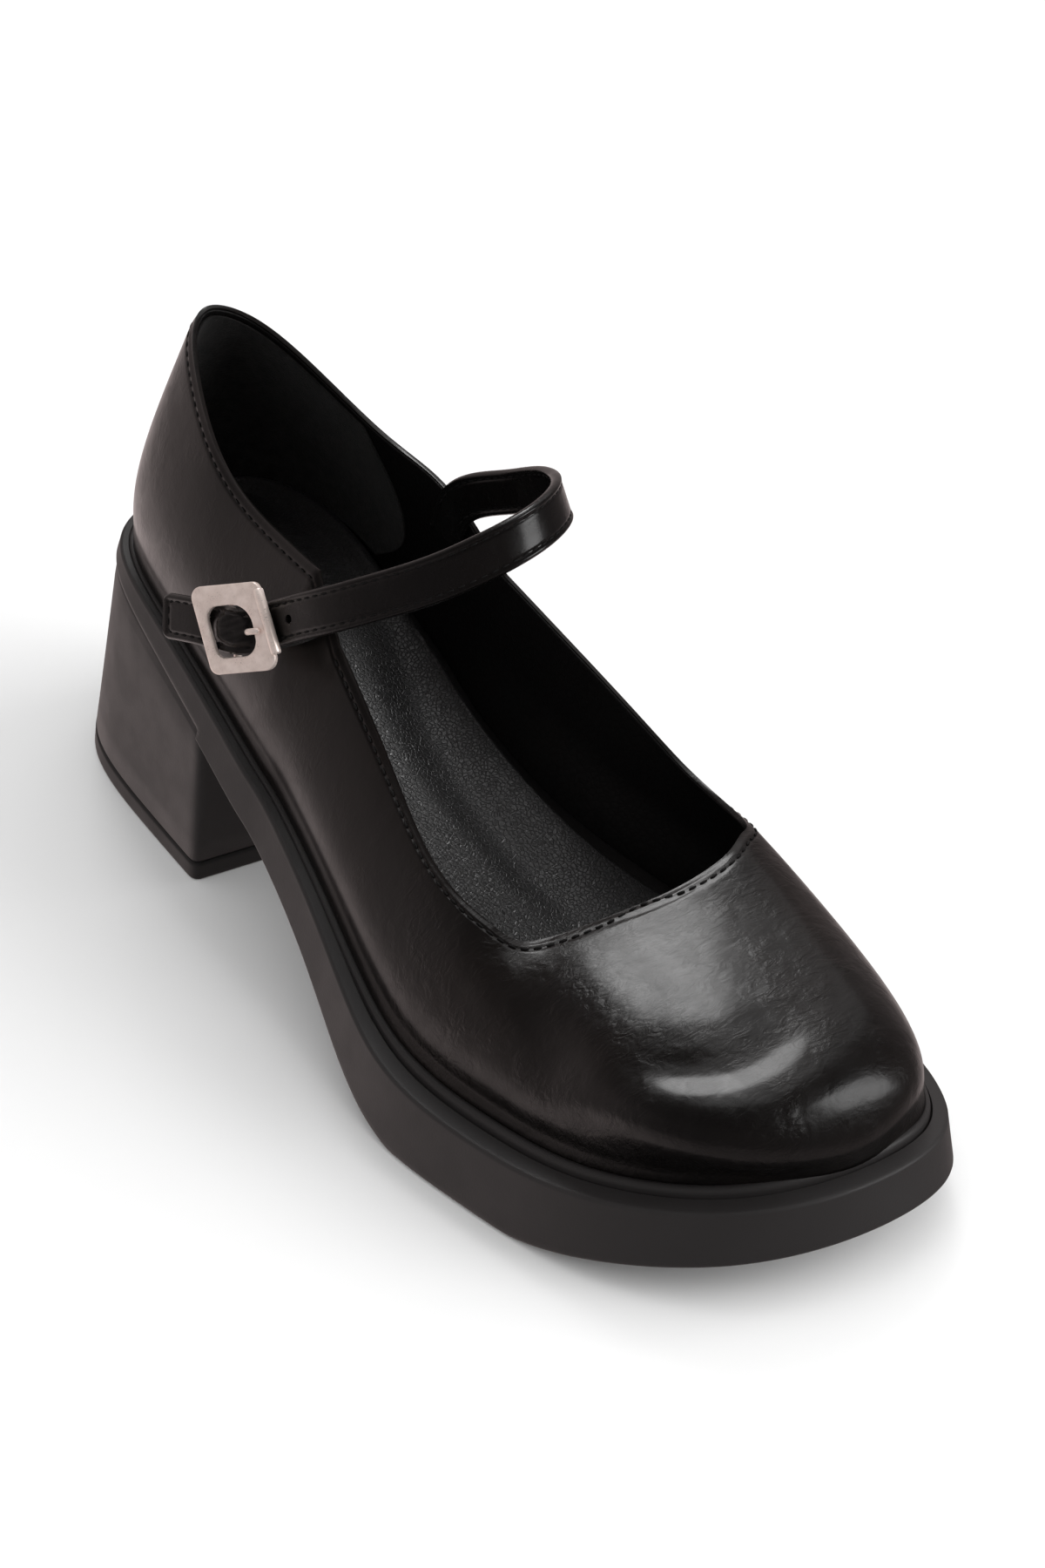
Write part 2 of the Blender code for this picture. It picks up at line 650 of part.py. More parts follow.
def prong_slope(share):
    """Direction of the prong where it goes through the strap."""
    low, high = prong_route()[4], prong_route()[5]
    length = math.hypot(high[0] - low[0], high[1] - low[1])
    return (high[0] - low[0]) / length, (high[1] - low[1]) / length


def make_prong(material, collection):
    """The prong: a bent wire hooked round the hinge bar."""
    curve = bpy.data.curves.new("buckle_prong", "CURVE")
    curve.dimensions = "3D"
    curve.bevel_depth = PRONG_RADIUS * MM
    curve.bevel_resolution = 2
    curve.use_fill_caps = True
    points = prong_route()
    line = curve.splines.new("POLY")
    places = np.concatenate([[0], np.cumsum([math.dist(a, b) for a, b in zip(points, points[1:])])])
    smooth = spline_through(places, np.array(points))
    stations = np.linspace(0, places[-1], 22)
    line.points.add(len(stations) - 1)
    for point, station in zip(line.points, stations):
        x, z = smooth(station)
        point.co = (x * MM, 0.0, z * MM, 1.0)
    curve.materials.append(material)
    prong = bpy.data.objects.new("buckle_prong", curve)
    collection.objects.link(prong)
    prong.matrix_world = buckle_matrix()
    return prong


def rounded_outline(half_top, half_bottom, half_height, corner, sides_per_corner=4):
    """A four-sided outline with round corners, from its right upper corner anticlockwise."""
    outline = []
    corners = (
        (half_top - corner, half_height - corner, 0.0),
        (corner - half_top, half_height - corner, 90.0),
        (corner - half_bottom, corner - half_height, 180.0),
        (half_bottom - corner, corner - half_height, 270.0),
    )
    for x, y, start in corners:
        for step in range(sides_per_corner + 1):
            angle = math.radians(start + 90.0 * step / sides_per_corner)
            outline.append((x + corner * math.cos(angle), y + corner * math.sin(angle)))
    return outline


def make_buckle_frame(material, collection, cutters):
    """The plate with its window and rib, the two lugs behind it and the hinge bar."""
    outer = rounded_outline(PLATE_TOP / 2, PLATE_BOTTOM / 2, PLATE_HEIGHT / 2, PLATE_CORNER)
    window = rounded_outline(WINDOW_LENGTH / 2, WINDOW_LENGTH / 2, WINDOW_HEIGHT / 2, 2.2)
    soft = 1 - 2 * PLATE_CHAMFER / PLATE_HEIGHT
    wide = 1 + 2 * PLATE_CHAMFER / WINDOW_HEIGHT
    rings = [
        [(x, y, -PLATE_THICKNESS) for x, y in outer],
        [(x, y, -PLATE_CHAMFER) for x, y in outer],
        [(x * soft, y * soft, 0.0) for x, y in outer],
        [(x * wide, y * wide, 0.0) for x, y in window],
        [(x, y, -PLATE_CHAMFER) for x, y in window],
        [(x, y, -PLATE_THICKNESS) for x, y in window],
    ]
    bm = bmesh.new()
    loft(bm, rings, loop_back=True)
    frame = finish(bm, "buckle_frame", material, collection)
    lug_y = STRAP_WIDTH / 2 + CLEARANCE + 0.2 + LUG_WIDTH / 2
    lug_low = -BAR_DEPTH - BAR_RADIUS - 0.3
    for side in (-1, 1):
        lug = box_at(
            f"buckle_lug_{'low' if side < 0 else 'high'}",
            (BAR_X - 1.4, side * lug_y - LUG_WIDTH / 2, lug_low),
            (BAR_X + 1.4, side * lug_y + LUG_WIDTH / 2, -PLATE_THICKNESS / 2),
        )
        add_cutter(lug, cutters)
        combine(frame, lug, "UNION")
    bar = cylinder_between("buckle_bar", (BAR_X, -lug_y, -BAR_DEPTH), (BAR_X, lug_y, -BAR_DEPTH), BAR_RADIUS)
    add_cutter(bar, cutters)
    combine(frame, bar, "UNION")
    rib = box_at(
        "buckle_rib",
        (-FLANGE_WIDTH / 2, -PLATE_HEIGHT / 2 + 1.6, -PLATE_THICKNESS / 2),
        (FLANGE_WIDTH / 2, PLATE_HEIGHT / 2 - 1.2, FLANGE_HEIGHT),
    )
    lean = math.atan2((PLATE_TOP - PLATE_BOTTOM) / 2, PLATE_HEIGHT)
    rib.matrix_world = Matrix.Translation(Vector(((PLATE_TOP + PLATE_BOTTOM) / 4 - 1.1, 0, 0)) * MM) @ Matrix.Rotation(
        -lean, 4, "Z"
    )
    add_cutter(rib, cutters)
    combine(frame, rib, "UNION")
    frame.matrix_world = buckle_matrix()
    for helper in cutters.objects:
        if helper.name.startswith("buckle_"):
            helper.matrix_world = buckle_matrix() @ helper.matrix_world
    return frame


def box_at(name, low, high):
    """A box between two corners, in millimetres."""
    low, high = Vector(low), Vector(high)
    bpy.ops.mesh.primitive_cube_add(size=1.0)
    box = bpy.context.object
    box.name = name
    box.data.transform(
        Matrix.Translation((low + high) / 2 * MM) @ Matrix.Diagonal((*((high - low) * MM), 1.0))
    )
    return box


def inside_below(rim, upward, distance, offset):
    """The point inside the upper that lies a distance straight under a point of its rim."""
    turns = np.linspace(SECTION_ROWS["breast_lat"], SECTION_ROWS["shank_lat"], 61)
    heights = np.linspace(0.5, 1.0, 51)
    target = rim - upward * distance
    away = np.linalg.norm(upper_surface(turns, heights) - target, axis=-1)
    row, column = np.unravel_index(np.argmin(away), away.shape)
    return beside_upper(turns[row], heights[column], -offset)


def make_elastic(material, collection, cutters):
    """The elastic that holds the buckle: from inside the outer wall, over the topline, round the bar."""
    turn = (SECTION_ROWS["strap_back_lat"] + SECTION_ROWS["strap_front_lat"]) / 2
    beside = WALL + CLEARANCE + 0.4 + ELASTIC_THICKNESS / 2
    ring = BAR_RADIUS + CLEARANCE + 0.1 + ELASTIC_THICKNESS / 2
    rim = beside_upper(turn, 1.0, 0.0)
    slope = topline_at([turn + 0.1])[0] - topline_at([turn - 0.1])[0]
    slope /= np.linalg.norm(slope)
    upward = rim - beside_upper(turn, 0.98, 0.0)
    upward -= slope * (upward @ slope)
    upward /= np.linalg.norm(upward)
    lift = CLEARANCE + ELASTIC_THICKNESS / 2 + 0.4
    route = [inside_below(rim, upward, distance, beside + 0.09 * distance) for distance in (9.5, 7.0, 4.5, 2.0)]
    route.append(beside_upper(turn, 1.0, -WALL - 0.3) + upward * lift)
    route.append(beside_upper(turn, 1.0, 0.2) + upward * (lift + 0.2))
    route.append(from_buckle(9.5, 0.0, -BAR_DEPTH - 3.2))
    for degrees in (80, 110, 140, 170, 200, 230, 260, 290):
        angle = math.radians(degrees)
        route.append(
            from_buckle(BAR_X + ring * math.cos(angle), 0.0, -BAR_DEPTH + ring * math.sin(angle))
        )
    up = np.array(buckle_matrix().to_3x3() @ Vector((0, 1, 0)))
    widths = np.array([slope * -1] * 6 + [up * -1] * (len(route) - 6))
    if slope @ up > 0:
        widths[6:] *= -1
        widths[:] *= -1
    bm = bmesh.new()
    rows = loft(bm, ribbon_rings(np.array(route), widths, ELASTIC_WIDTH, ELASTIC_THICKNESS, 44))
    bm.faces.new(reversed(rows[0]))
    bm.faces.new(rows[-1])
    elastic = finish(bm, "buckle_anchor", material, collection)
    gap = PRONG_RADIUS + CLEARANCE + 0.1
    slot = box_at(
        "elastic_slot",
        (BAR_X - 3.2, -gap, -BAR_DEPTH - 3.4),
        (BAR_X + 4.5, gap, -BAR_DEPTH + 3.4),
    )
    slot.matrix_world = buckle_matrix()
    add_cutter(slot, cutters)
    combine(elastic, slot, "DIFFERENCE")
    return elastic


def place_on_origin(parts, root):
    """Move the whole shoe so that its box stands centred on the origin."""
    bpy.context.view_layer.update()
    graph = bpy.context.evaluated_depsgraph_get()
    corners = []
    for part in parts:
        solid = part.evaluated_get(graph)
        mesh = solid.to_mesh()
        points = np.empty(len(mesh.vertices) * 3, np.float32)
        mesh.vertices.foreach_get("co", points)
        solid.to_mesh_clear()
        world = np.array(part.matrix_world)
        corners.append(points.reshape(-1, 3) @ world[:3, :3].T + world[:3, 3])
    points = np.vstack(corners)
    middle = (points.min(axis=0) + points.max(axis=0)) / 2
    root.location = (-middle[0], -middle[1], 0.0)


def main():
    """Build the shoe."""
    clear_scene()
    shoe = new_collection("mary_jane_shoe")
    cutters = new_collection("cutters")
    cutters.hide_render = True
    made = make_materials()
    sole = make_sole_slab(made["sole_rubber"], shoe)
    block = make_heel_block(made["sole_rubber"], shoe)
    add_cutter(block, cutters)
    combine(sole, block, "UNION")
    parts = [
        sole,
        make_top_lift(made["lift_rubber"], shoe),
        make_upper(made["patent_leather"], shoe),
        make_insole(made["lining_leather"], shoe),
        make_strap(made["patent_leather"], shoe, cutters),
        make_elastic(made["elastic_web"], shoe, cutters),
        make_buckle_frame(made["satin_nickel"], shoe, cutters),
        make_prong(made["satin_nickel"], shoe),
    ]
    root = bpy.data.objects.new("shoe_root", None)
    shoe.objects.link(root)
    place_on_origin(parts, root)
    for thing in parts + list(cutters.objects):
        thing.parent = root


if __name__ == "__main__":
    main()
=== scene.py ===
"""Finished look of a Mary Jane shoe for the right foot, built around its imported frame.

The toe points to -Y, the heel to +Y, the outer side of the foot to -X, and the floor is z = 0. Tables and
sizes are in millimetres on the last, and `Last.world` takes them to metres in the frame.
"""

from __future__ import annotations

import logging
import math
from dataclasses import dataclass
from enum import Enum
from typing import Callable

import bmesh
import bpy
import numpy as np
from mathutils import Matrix, Vector

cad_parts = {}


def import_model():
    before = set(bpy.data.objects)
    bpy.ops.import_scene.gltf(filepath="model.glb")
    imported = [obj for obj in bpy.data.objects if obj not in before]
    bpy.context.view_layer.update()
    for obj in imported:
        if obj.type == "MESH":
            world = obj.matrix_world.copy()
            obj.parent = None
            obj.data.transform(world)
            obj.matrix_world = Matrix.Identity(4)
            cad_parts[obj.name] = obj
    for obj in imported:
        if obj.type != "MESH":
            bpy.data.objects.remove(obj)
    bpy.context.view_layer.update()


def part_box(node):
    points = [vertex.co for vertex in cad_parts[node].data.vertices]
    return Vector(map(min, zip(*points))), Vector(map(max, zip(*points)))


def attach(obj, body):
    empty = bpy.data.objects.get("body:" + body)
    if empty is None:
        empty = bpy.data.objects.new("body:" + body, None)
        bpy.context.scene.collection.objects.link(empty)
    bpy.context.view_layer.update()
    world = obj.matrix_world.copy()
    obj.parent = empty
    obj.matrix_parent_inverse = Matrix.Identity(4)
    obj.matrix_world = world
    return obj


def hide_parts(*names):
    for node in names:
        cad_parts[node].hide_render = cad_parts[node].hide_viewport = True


LOG = logging.getLogger("shoe")
MM = 0.001
WELD = 5e-6
NUDGE = 1e-3
HARD_EDGE = 60.0
ROOT = "root"
Array = np.ndarray
Placer = Callable[[Array, Array], Array]


class Slot(Enum):
    """The record's material slots."""

    LEATHER = "patent_leather"
    SOLE = "sole_rubber"
    LIFT = "lift_rubber"
    LINING = "lining_leather"
    ELASTIC = "elastic_web"
    METAL = "satin_nickel"


# ---------------------------------------------------------------------------------------------
# Curves and small sums
# ---------------------------------------------------------------------------------------------


class SmoothCurve:
    """A natural cubic curve through values at given places, or a closed one at whole numbers."""

    def __init__(self, places: Array, values: Array, closed: bool = False) -> None:
        """Solve for the curve.

        Args:
            places: where the values stand, rising. A closed curve has them at 0, 1, 2 and so on.
            values: one row for each place.
            closed: whether the curve comes back to its first row.
        """
        self.places = np.asarray(places, float)
        self.values = np.asarray(values, float)
        self.closed = closed
        count = len(self.values)
        if closed:
            system = 4 * np.eye(count) + np.roll(np.eye(count), 1, 0) + np.roll(np.eye(count), -1, 0)
            right = np.roll(self.values, -1, 0) - 2 * self.values + np.roll(self.values, 1, 0)
            self.bends = np.linalg.solve(system, 6 * right)
            return
        gaps = np.diff(self.places)
        slopes = np.diff(self.values, axis=0) / gaps.reshape((-1,) + (1,) * (self.values.ndim - 1))
        system = np.eye(count)
        right = np.zeros_like(self.values)
        for row in range(1, count - 1):
            system[row, row - 1 : row + 2] = gaps[row - 1], 2 * (gaps[row - 1] + gaps[row]), gaps[row]
            right[row] = 6 * (slopes[row] - slopes[row - 1])
        self.bends = np.linalg.solve(system, right)

    def __call__(self, where: Array | float) -> Array:
        """Values of the curve at these places."""
        where = np.asarray(where, float)
        count = len(self.values)
        if self.closed:
            low = np.floor(where).astype(int)
            part = where - low
            low, high = low % count, (low + 1) % count
            gap = np.ones_like(where)
        else:
            low = np.clip(np.searchsorted(self.places, where, side="right") - 1, 0, count - 2)
            high = low + 1
            gap = self.places[high] - self.places[low]
            part = (where - self.places[low]) / gap
        rest = 1 - part
        if self.values.ndim > 1:
            part, rest, gap = part[..., None], rest[..., None], gap[..., None]
        line = rest * self.values[low] + part * self.values[high]
        bow = (rest**3 - rest) * self.bends[low] + (part**3 - part) * self.bends[high]
        return line + bow * gap**2 / 6


def unit(vectors: Array) -> Array:
    """The vectors at length one."""
    return vectors / np.linalg.norm(vectors, axis=-1, keepdims=True)


def ease(values: Array, low: float, high: float) -> Array:
    """Rise smoothly from 0 at low to 1 at high."""
    share = np.clip((values - low) / (high - low), 0, 1)
    return share * share * (3 - 2 * share)


def hump(distance: Array, width: float) -> Array:
    """A soft hump that is 1 at no distance and fades over the width."""
    return np.exp(-((distance / width) ** 2))


def polyline_places(points: Array) -> Array:
    """Distance of each point along the line through them."""
    return np.concatenate([[0.0], np.cumsum(np.linalg.norm(np.diff(points, axis=0), axis=1))])


def rounded_ring(corners: Array, radii: Array, inset: float, share: Array) -> Array:
    """Points of a many-sided outline with round corners.

    Args:
        corners: in order, turning left.
        radii: one for each corner.
        inset: how far the whole outline is drawn in, negative for outwards.
        share: how far round, from 0 to 1. Each corner with the side after it takes the same share.

    Returns:
        One row of x and y for each share.
    """
    arc_share = 0.75
    least_radius = 0.05
    count = len(corners)
    ahead = unit(np.roll(corners, -1, 0) - corners)
    before = np.roll(ahead, 1, 0)
    inward = np.column_stack([-ahead[:, 1], ahead[:, 0]])
    inward_before = np.roll(inward, 1, 0)
    spread = 1 + (inward * inward_before).sum(axis=1, keepdims=True)
    points = corners + inset * (inward + inward_before) / spread
    radii = np.maximum(radii - inset, least_radius)
    bend = np.arccos(np.clip((ahead * before).sum(axis=1), -1, 1))
    reach = (radii * np.tan(bend / 2))[:, None]
    centre = points - before * reach + inward_before * radii[:, None]
    which = np.floor(share * count).astype(int) % count
    part = share * count - np.floor(share * count)

    def arc(number: Array, swing: Array) -> Array:
        """Points on the round corners."""
        angle = (bend[number] * swing)[:, None]
        ray = before[number] * np.sin(angle) - inward_before[number] * np.cos(angle)
        return centre[number] + ray * radii[number][:, None]

    onward = np.clip((part - arc_share) / (1 - arc_share), 0, 1)[:, None]
    here = arc(which, np.clip(part / arc_share, 0, 1))
    return here + (arc((which + 1) % count, np.zeros_like(part)) - here) * onward


# ---------------------------------------------------------------------------------------------
# The last
# ---------------------------------------------------------------------------------------------


@dataclass(frozen=True)
class Section:
    """One section of the last, from the sole's edge up to the topline."""

    name: str
    edge_x: float
    edge_y: float
    inset: float
    top_x: float
    top_y: float
    top_z: float
    rise: float
    lean: float
    reach: float
    drop: float


@dataclass(frozen=True)
class Station:
    """Heights of the sole's ledge and tread at one place along the shoe."""

    y: float
    ledge: float
    tread: float


SECTIONS = (
    Section("heel_back", -0.5, 122.5, 4.5, -0.5, 108.5, 111.5, 14, 2.5, 0.70, 20),
    Section("heel_back_lat", -17.5, 117.5, 4.5, -7.5, 106.0, 110.0, 14, 3.0, 0.65, 21),
    Section("heel_lat", -27.5, 102.5, 4.5, -13.5, 96.0, 105.0, 14, 3.0, 0.65, 19),
    Section("heel_side_lat", -32.5, 78.5, 4.5, -19.0, 80.0, 97.0, 14, 2.5, 0.70, 17),
    Section("breast_lat", -36.0, 55.0, 5.0, -20.5, 62.0, 90.5, 13, 1.5, 0.70, 15),
    Section("strap_back_lat", -38.5, 36.5, 5.5, -21.0, 35.0, 89.0, 13, 1.0, 0.65, 14),
    Section("strap_front_lat", -40.0, 23.5, 5.5, -23.0, 23.5, 76.5, 13, 1.0, 0.60, 12),
    Section("shank_lat", -46.5, -7.0, 6.5, -26.5, -1.0, 63.0, 13, 1.0, 0.60, 10),
    Section("ball_rear_lat", -52.0, -37.0, 9.0, -31.0, -25.0, 53.5, 14, 1.5, 0.60, 8),
    Section("ball_lat", -49.5, -64.0, 10.5, -29.0, -44.0, 49.5, 16, 3.0, 0.70, 6),
    Section("toe_side_lat", -43.5, -89.0, 10.5, -22.5, -50.0, 48.0, 19, 4.5, 0.85, 4),
    Section("toe_corner_lat", -31.5, -110.0, 10.5, -14.5, -52.5, 48.5, 21, 5.5, 1.00, 3),
    Section("toe_front_lat", -16.0, -122.5, 10.5, -5.0, -55.0, 50.5, 22, 5.5, 1.05, 4),
    Section("toe_tip", 4.0, -127.5, 10.0, 4.5, -57.0, 52.5, 23, 4.5, 1.00, 6),
    Section("toe_front_med", 25.5, -124.0, 8.5, 14.0, -57.5, 54.5, 22, 4.0, 0.85, 8),
    Section("toe_corner_med", 38.5, -110.0, 6.5, 22.0, -56.0, 56.0, 19, 2.0, 0.72, 10),
    Section("toe_side_med", 45.5, -88.5, 6.5, 28.5, -52.0, 55.5, 17, 1.5, 0.65, 9),
    Section("ball_med", 47.0, -61.0, 6.5, 33.0, -46.5, 54.0, 16, 2.0, 0.60, 8),
    Section("ball_rear_med", 42.5, -32.0, 5.5, 34.0, -28.0, 54.0, 15, 2.5, 0.50, 10),
    Section("shank_med", 28.5, -3.5, 4.0, 30.5, -8.0, 62.0, 14, 3.0, 0.40, 12),
    Section("strap_front_med", 24.5, 27.0, 3.0, 25.5, 29.5, 75.0, 14, 3.0, 0.38, 13),
    Section("strap_back_med", 25.5, 42.0, 3.0, 24.0, 45.5, 85.5, 14, 3.0, 0.42, 14),
    Section("breast_med", 26.5, 57.0, 3.5, 24.0, 57.5, 87.5, 14, 2.5, 0.55, 15),
    Section("heel_side_med", 28.5, 78.0, 3.5, 21.5, 73.0, 90.5, 14, 2.5, 0.65, 16),
    Section("heel_med", 26.0, 102.5, 3.5, 16.0, 90.0, 99.0, 14, 2.5, 0.70, 17),
    Section("heel_back_med", 15.5, 118.0, 4.0, 9.0, 103.5, 107.0, 14, 2.5, 0.72, 19),
)

STATIONS = (
    Station(-130.0, 25.4, 14.0),
    Station(-110.0, 21.2, 8.0),
    Station(-95.0, 18.6, 3.6),
    Station(-80.0, 16.8, 0.2),
    Station(-63.0, 16.0, -1.2),
    Station(-45.0, 17.0, -0.2),
    Station(-30.0, 20.0, 4.4),
    Station(-15.0, 25.6, 12.2),
    Station(0.0, 31.6, 20.0),
    Station(28.0, 40.2, 29.8),
    Station(58.0, 48.2, 38.4),
    Station(90.0, 53.8, 44.0),
    Station(125.0, 56.6, 46.6),
)


class Last:
    """The form that every piece is worked out from."""

    count = len(SECTIONS)
    foot_lift = 0.8
    foot_share = 0.85
    skirt = 10.0
    wall_flare = 2.0
    arch_spread = 3.2
    spine_ends = (1.4, 11.6)

    def __init__(self) -> None:
        """Fit the curves, and find where the frame has put the shoe."""
        self.index = {section.name: number for number, section in enumerate(SECTIONS)}
        whole = np.arange(self.count)
        edge_rows = [(s.edge_x, s.edge_y) for s in SECTIONS]
        form_rows = [(s.inset, s.rise, s.lean, s.reach, s.drop) for s in SECTIONS]
        self.tops = np.array([(s.top_x, s.top_y, s.top_z) for s in SECTIONS], float)
        self.edge = SmoothCurve(whole, np.array(edge_rows), closed=True)
        self.form = SmoothCurve(whole, np.array(form_rows), closed=True)
        places = np.array([station.y for station in STATIONS])
        self.ledge = SmoothCurve(places, np.array([station.ledge for station in STATIONS]))
        self.tread_curve = SmoothCurve(places, np.array([station.tread for station in STATIONS]))
        front_lat, front_med = self.index["strap_front_lat"], self.index["strap_front_med"]
        back_lat, back_med = self.index["strap_back_lat"], self.index["strap_back_med"]
        self.throat = SmoothCurve(np.arange(front_lat, front_med + 1), self.tops[front_lat : front_med + 1])
        rows = list(range(back_med, self.count)) + list(range(back_lat + 1))
        self.collar = SmoothCurve(np.arange(back_med, self.count + back_lat + 1), self.tops[rows])
        turns = np.arange(self.count * 4) / 4
        outline = self.edge(turns) + self.outward(turns) * self.wall_flare
        corner = np.array(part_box("sole_unit")[0])[:2] / MM
        self.shift = np.append(corner - outline.min(axis=0), 0.0)

    def world(self, points: Array) -> Array:
        """Points on the last, in millimetres, as places in the frame, in metres."""
        return (np.asarray(points) + self.shift) * MM

    def outward(self, turn: Array) -> Array:
        """Unit vectors square to the sole's edge, pointing out."""
        along = unit(self.edge(turn + NUDGE) - self.edge(turn - NUDGE))
        return np.stack([along[..., 1], -along[..., 0]], -1)

    def tread(self, y: Array) -> Array:
        """Height of the sole's underside, flat on the floor under the ball of the foot."""
        return np.maximum(self.tread_curve(y), 0.0)

    def topline(self, turn: Array) -> Array:
        """The topline: throat, collar, and the two steps between them that the strap crosses."""
        turn = np.asarray(turn, float) % self.count
        steps = (("strap_back_lat", "strap_front_lat"), ("strap_front_med", "strap_back_med"))
        result = self.throat(turn)
        around = np.where(turn <= self.index["strap_back_lat"], turn + self.count, turn)
        on_collar = around >= self.index["strap_back_med"]
        result[on_collar] = self.collar(around[on_collar])
        for start, end in steps:
            first, last = self.index[start], self.index[end]
            inside = (turn > first) & (turn < last)
            share = ((turn[inside] - first) / (last - first))[:, None]
            result[inside] = self.tops[first] + (self.tops[last] - self.tops[first]) * share
        return result

    def skin(self, turn: Array, height: Array) -> Array:
        """Points of the upper's outer face.

        Args:
            turn: way round the shoe, in sections.
            height: 0 at the foot and 1 at the topline. Below 0 the face runs straight down.

        Returns:
            One row of x, y, z for each pair.
        """
        edge = self.edge(turn)
        outward = self.outward(turn)
        inset, rise, lean, reach, drop = self.form(turn).T[:, :, None]
        foot_level = self.ledge(edge[:, 1]) + self.foot_lift
        foot = np.column_stack([edge - outward * inset * self.foot_share, foot_level])
        top = self.topline(turn)
        low_handle = foot + np.column_stack([outward * lean, rise])
        top_handle = top + np.column_stack([(foot - top)[:, :2] * reach, -drop])
        share = np.clip(height, 0, None)[:, None]
        rest = 1 - share
        points = rest**3 * foot + 3 * rest**2 * share * low_handle
        points += 3 * rest * share**2 * top_handle + share**3 * top
        points[:, 2] += np.minimum(height, 0) * self.skirt
        return points

    def skin_facing(self, turn: Array, height: Array) -> Array:
        """Unit vectors square to the upper's outer face."""
        height = np.clip(height, NUDGE, 1 - NUDGE)
        around = self.skin(turn + NUDGE, height) - self.skin(turn - NUDGE, height)
        upward = self.skin(turn, height + NUDGE) - self.skin(turn, height - NUDGE)
        return unit(np.cross(around, upward))

    def beside(self, turn: Array, height: Array, offset: Array | float) -> Array:
        """Points off the upper's outer face by an offset, which is negative inside."""
        facing = self.skin_facing(turn, height)
        return self.skin(turn, height) + facing * np.asarray(offset, float).reshape(-1, 1)

    def spine(self, turn: Array) -> Array:
        """Middle line of the sole, for closing a ring towards it. Its ends gather the ends' turns."""
        around = turn % self.count
        folded = np.where(around > self.count / 2, self.count - around, around)
        folded = np.clip(folded, *self.spine_ends)
        return (self.edge(folded) + self.edge(self.count - folded)) / 2

    def arch(self, turn: Array) -> Array:
        """How much of the arch's padding stands at the turns: 1 in the middle of the inner side."""
        return hump(turn - self.index["shank_med"] + 0.5, self.arch_spread)


# ---------------------------------------------------------------------------------------------
# Meshes
# ---------------------------------------------------------------------------------------------


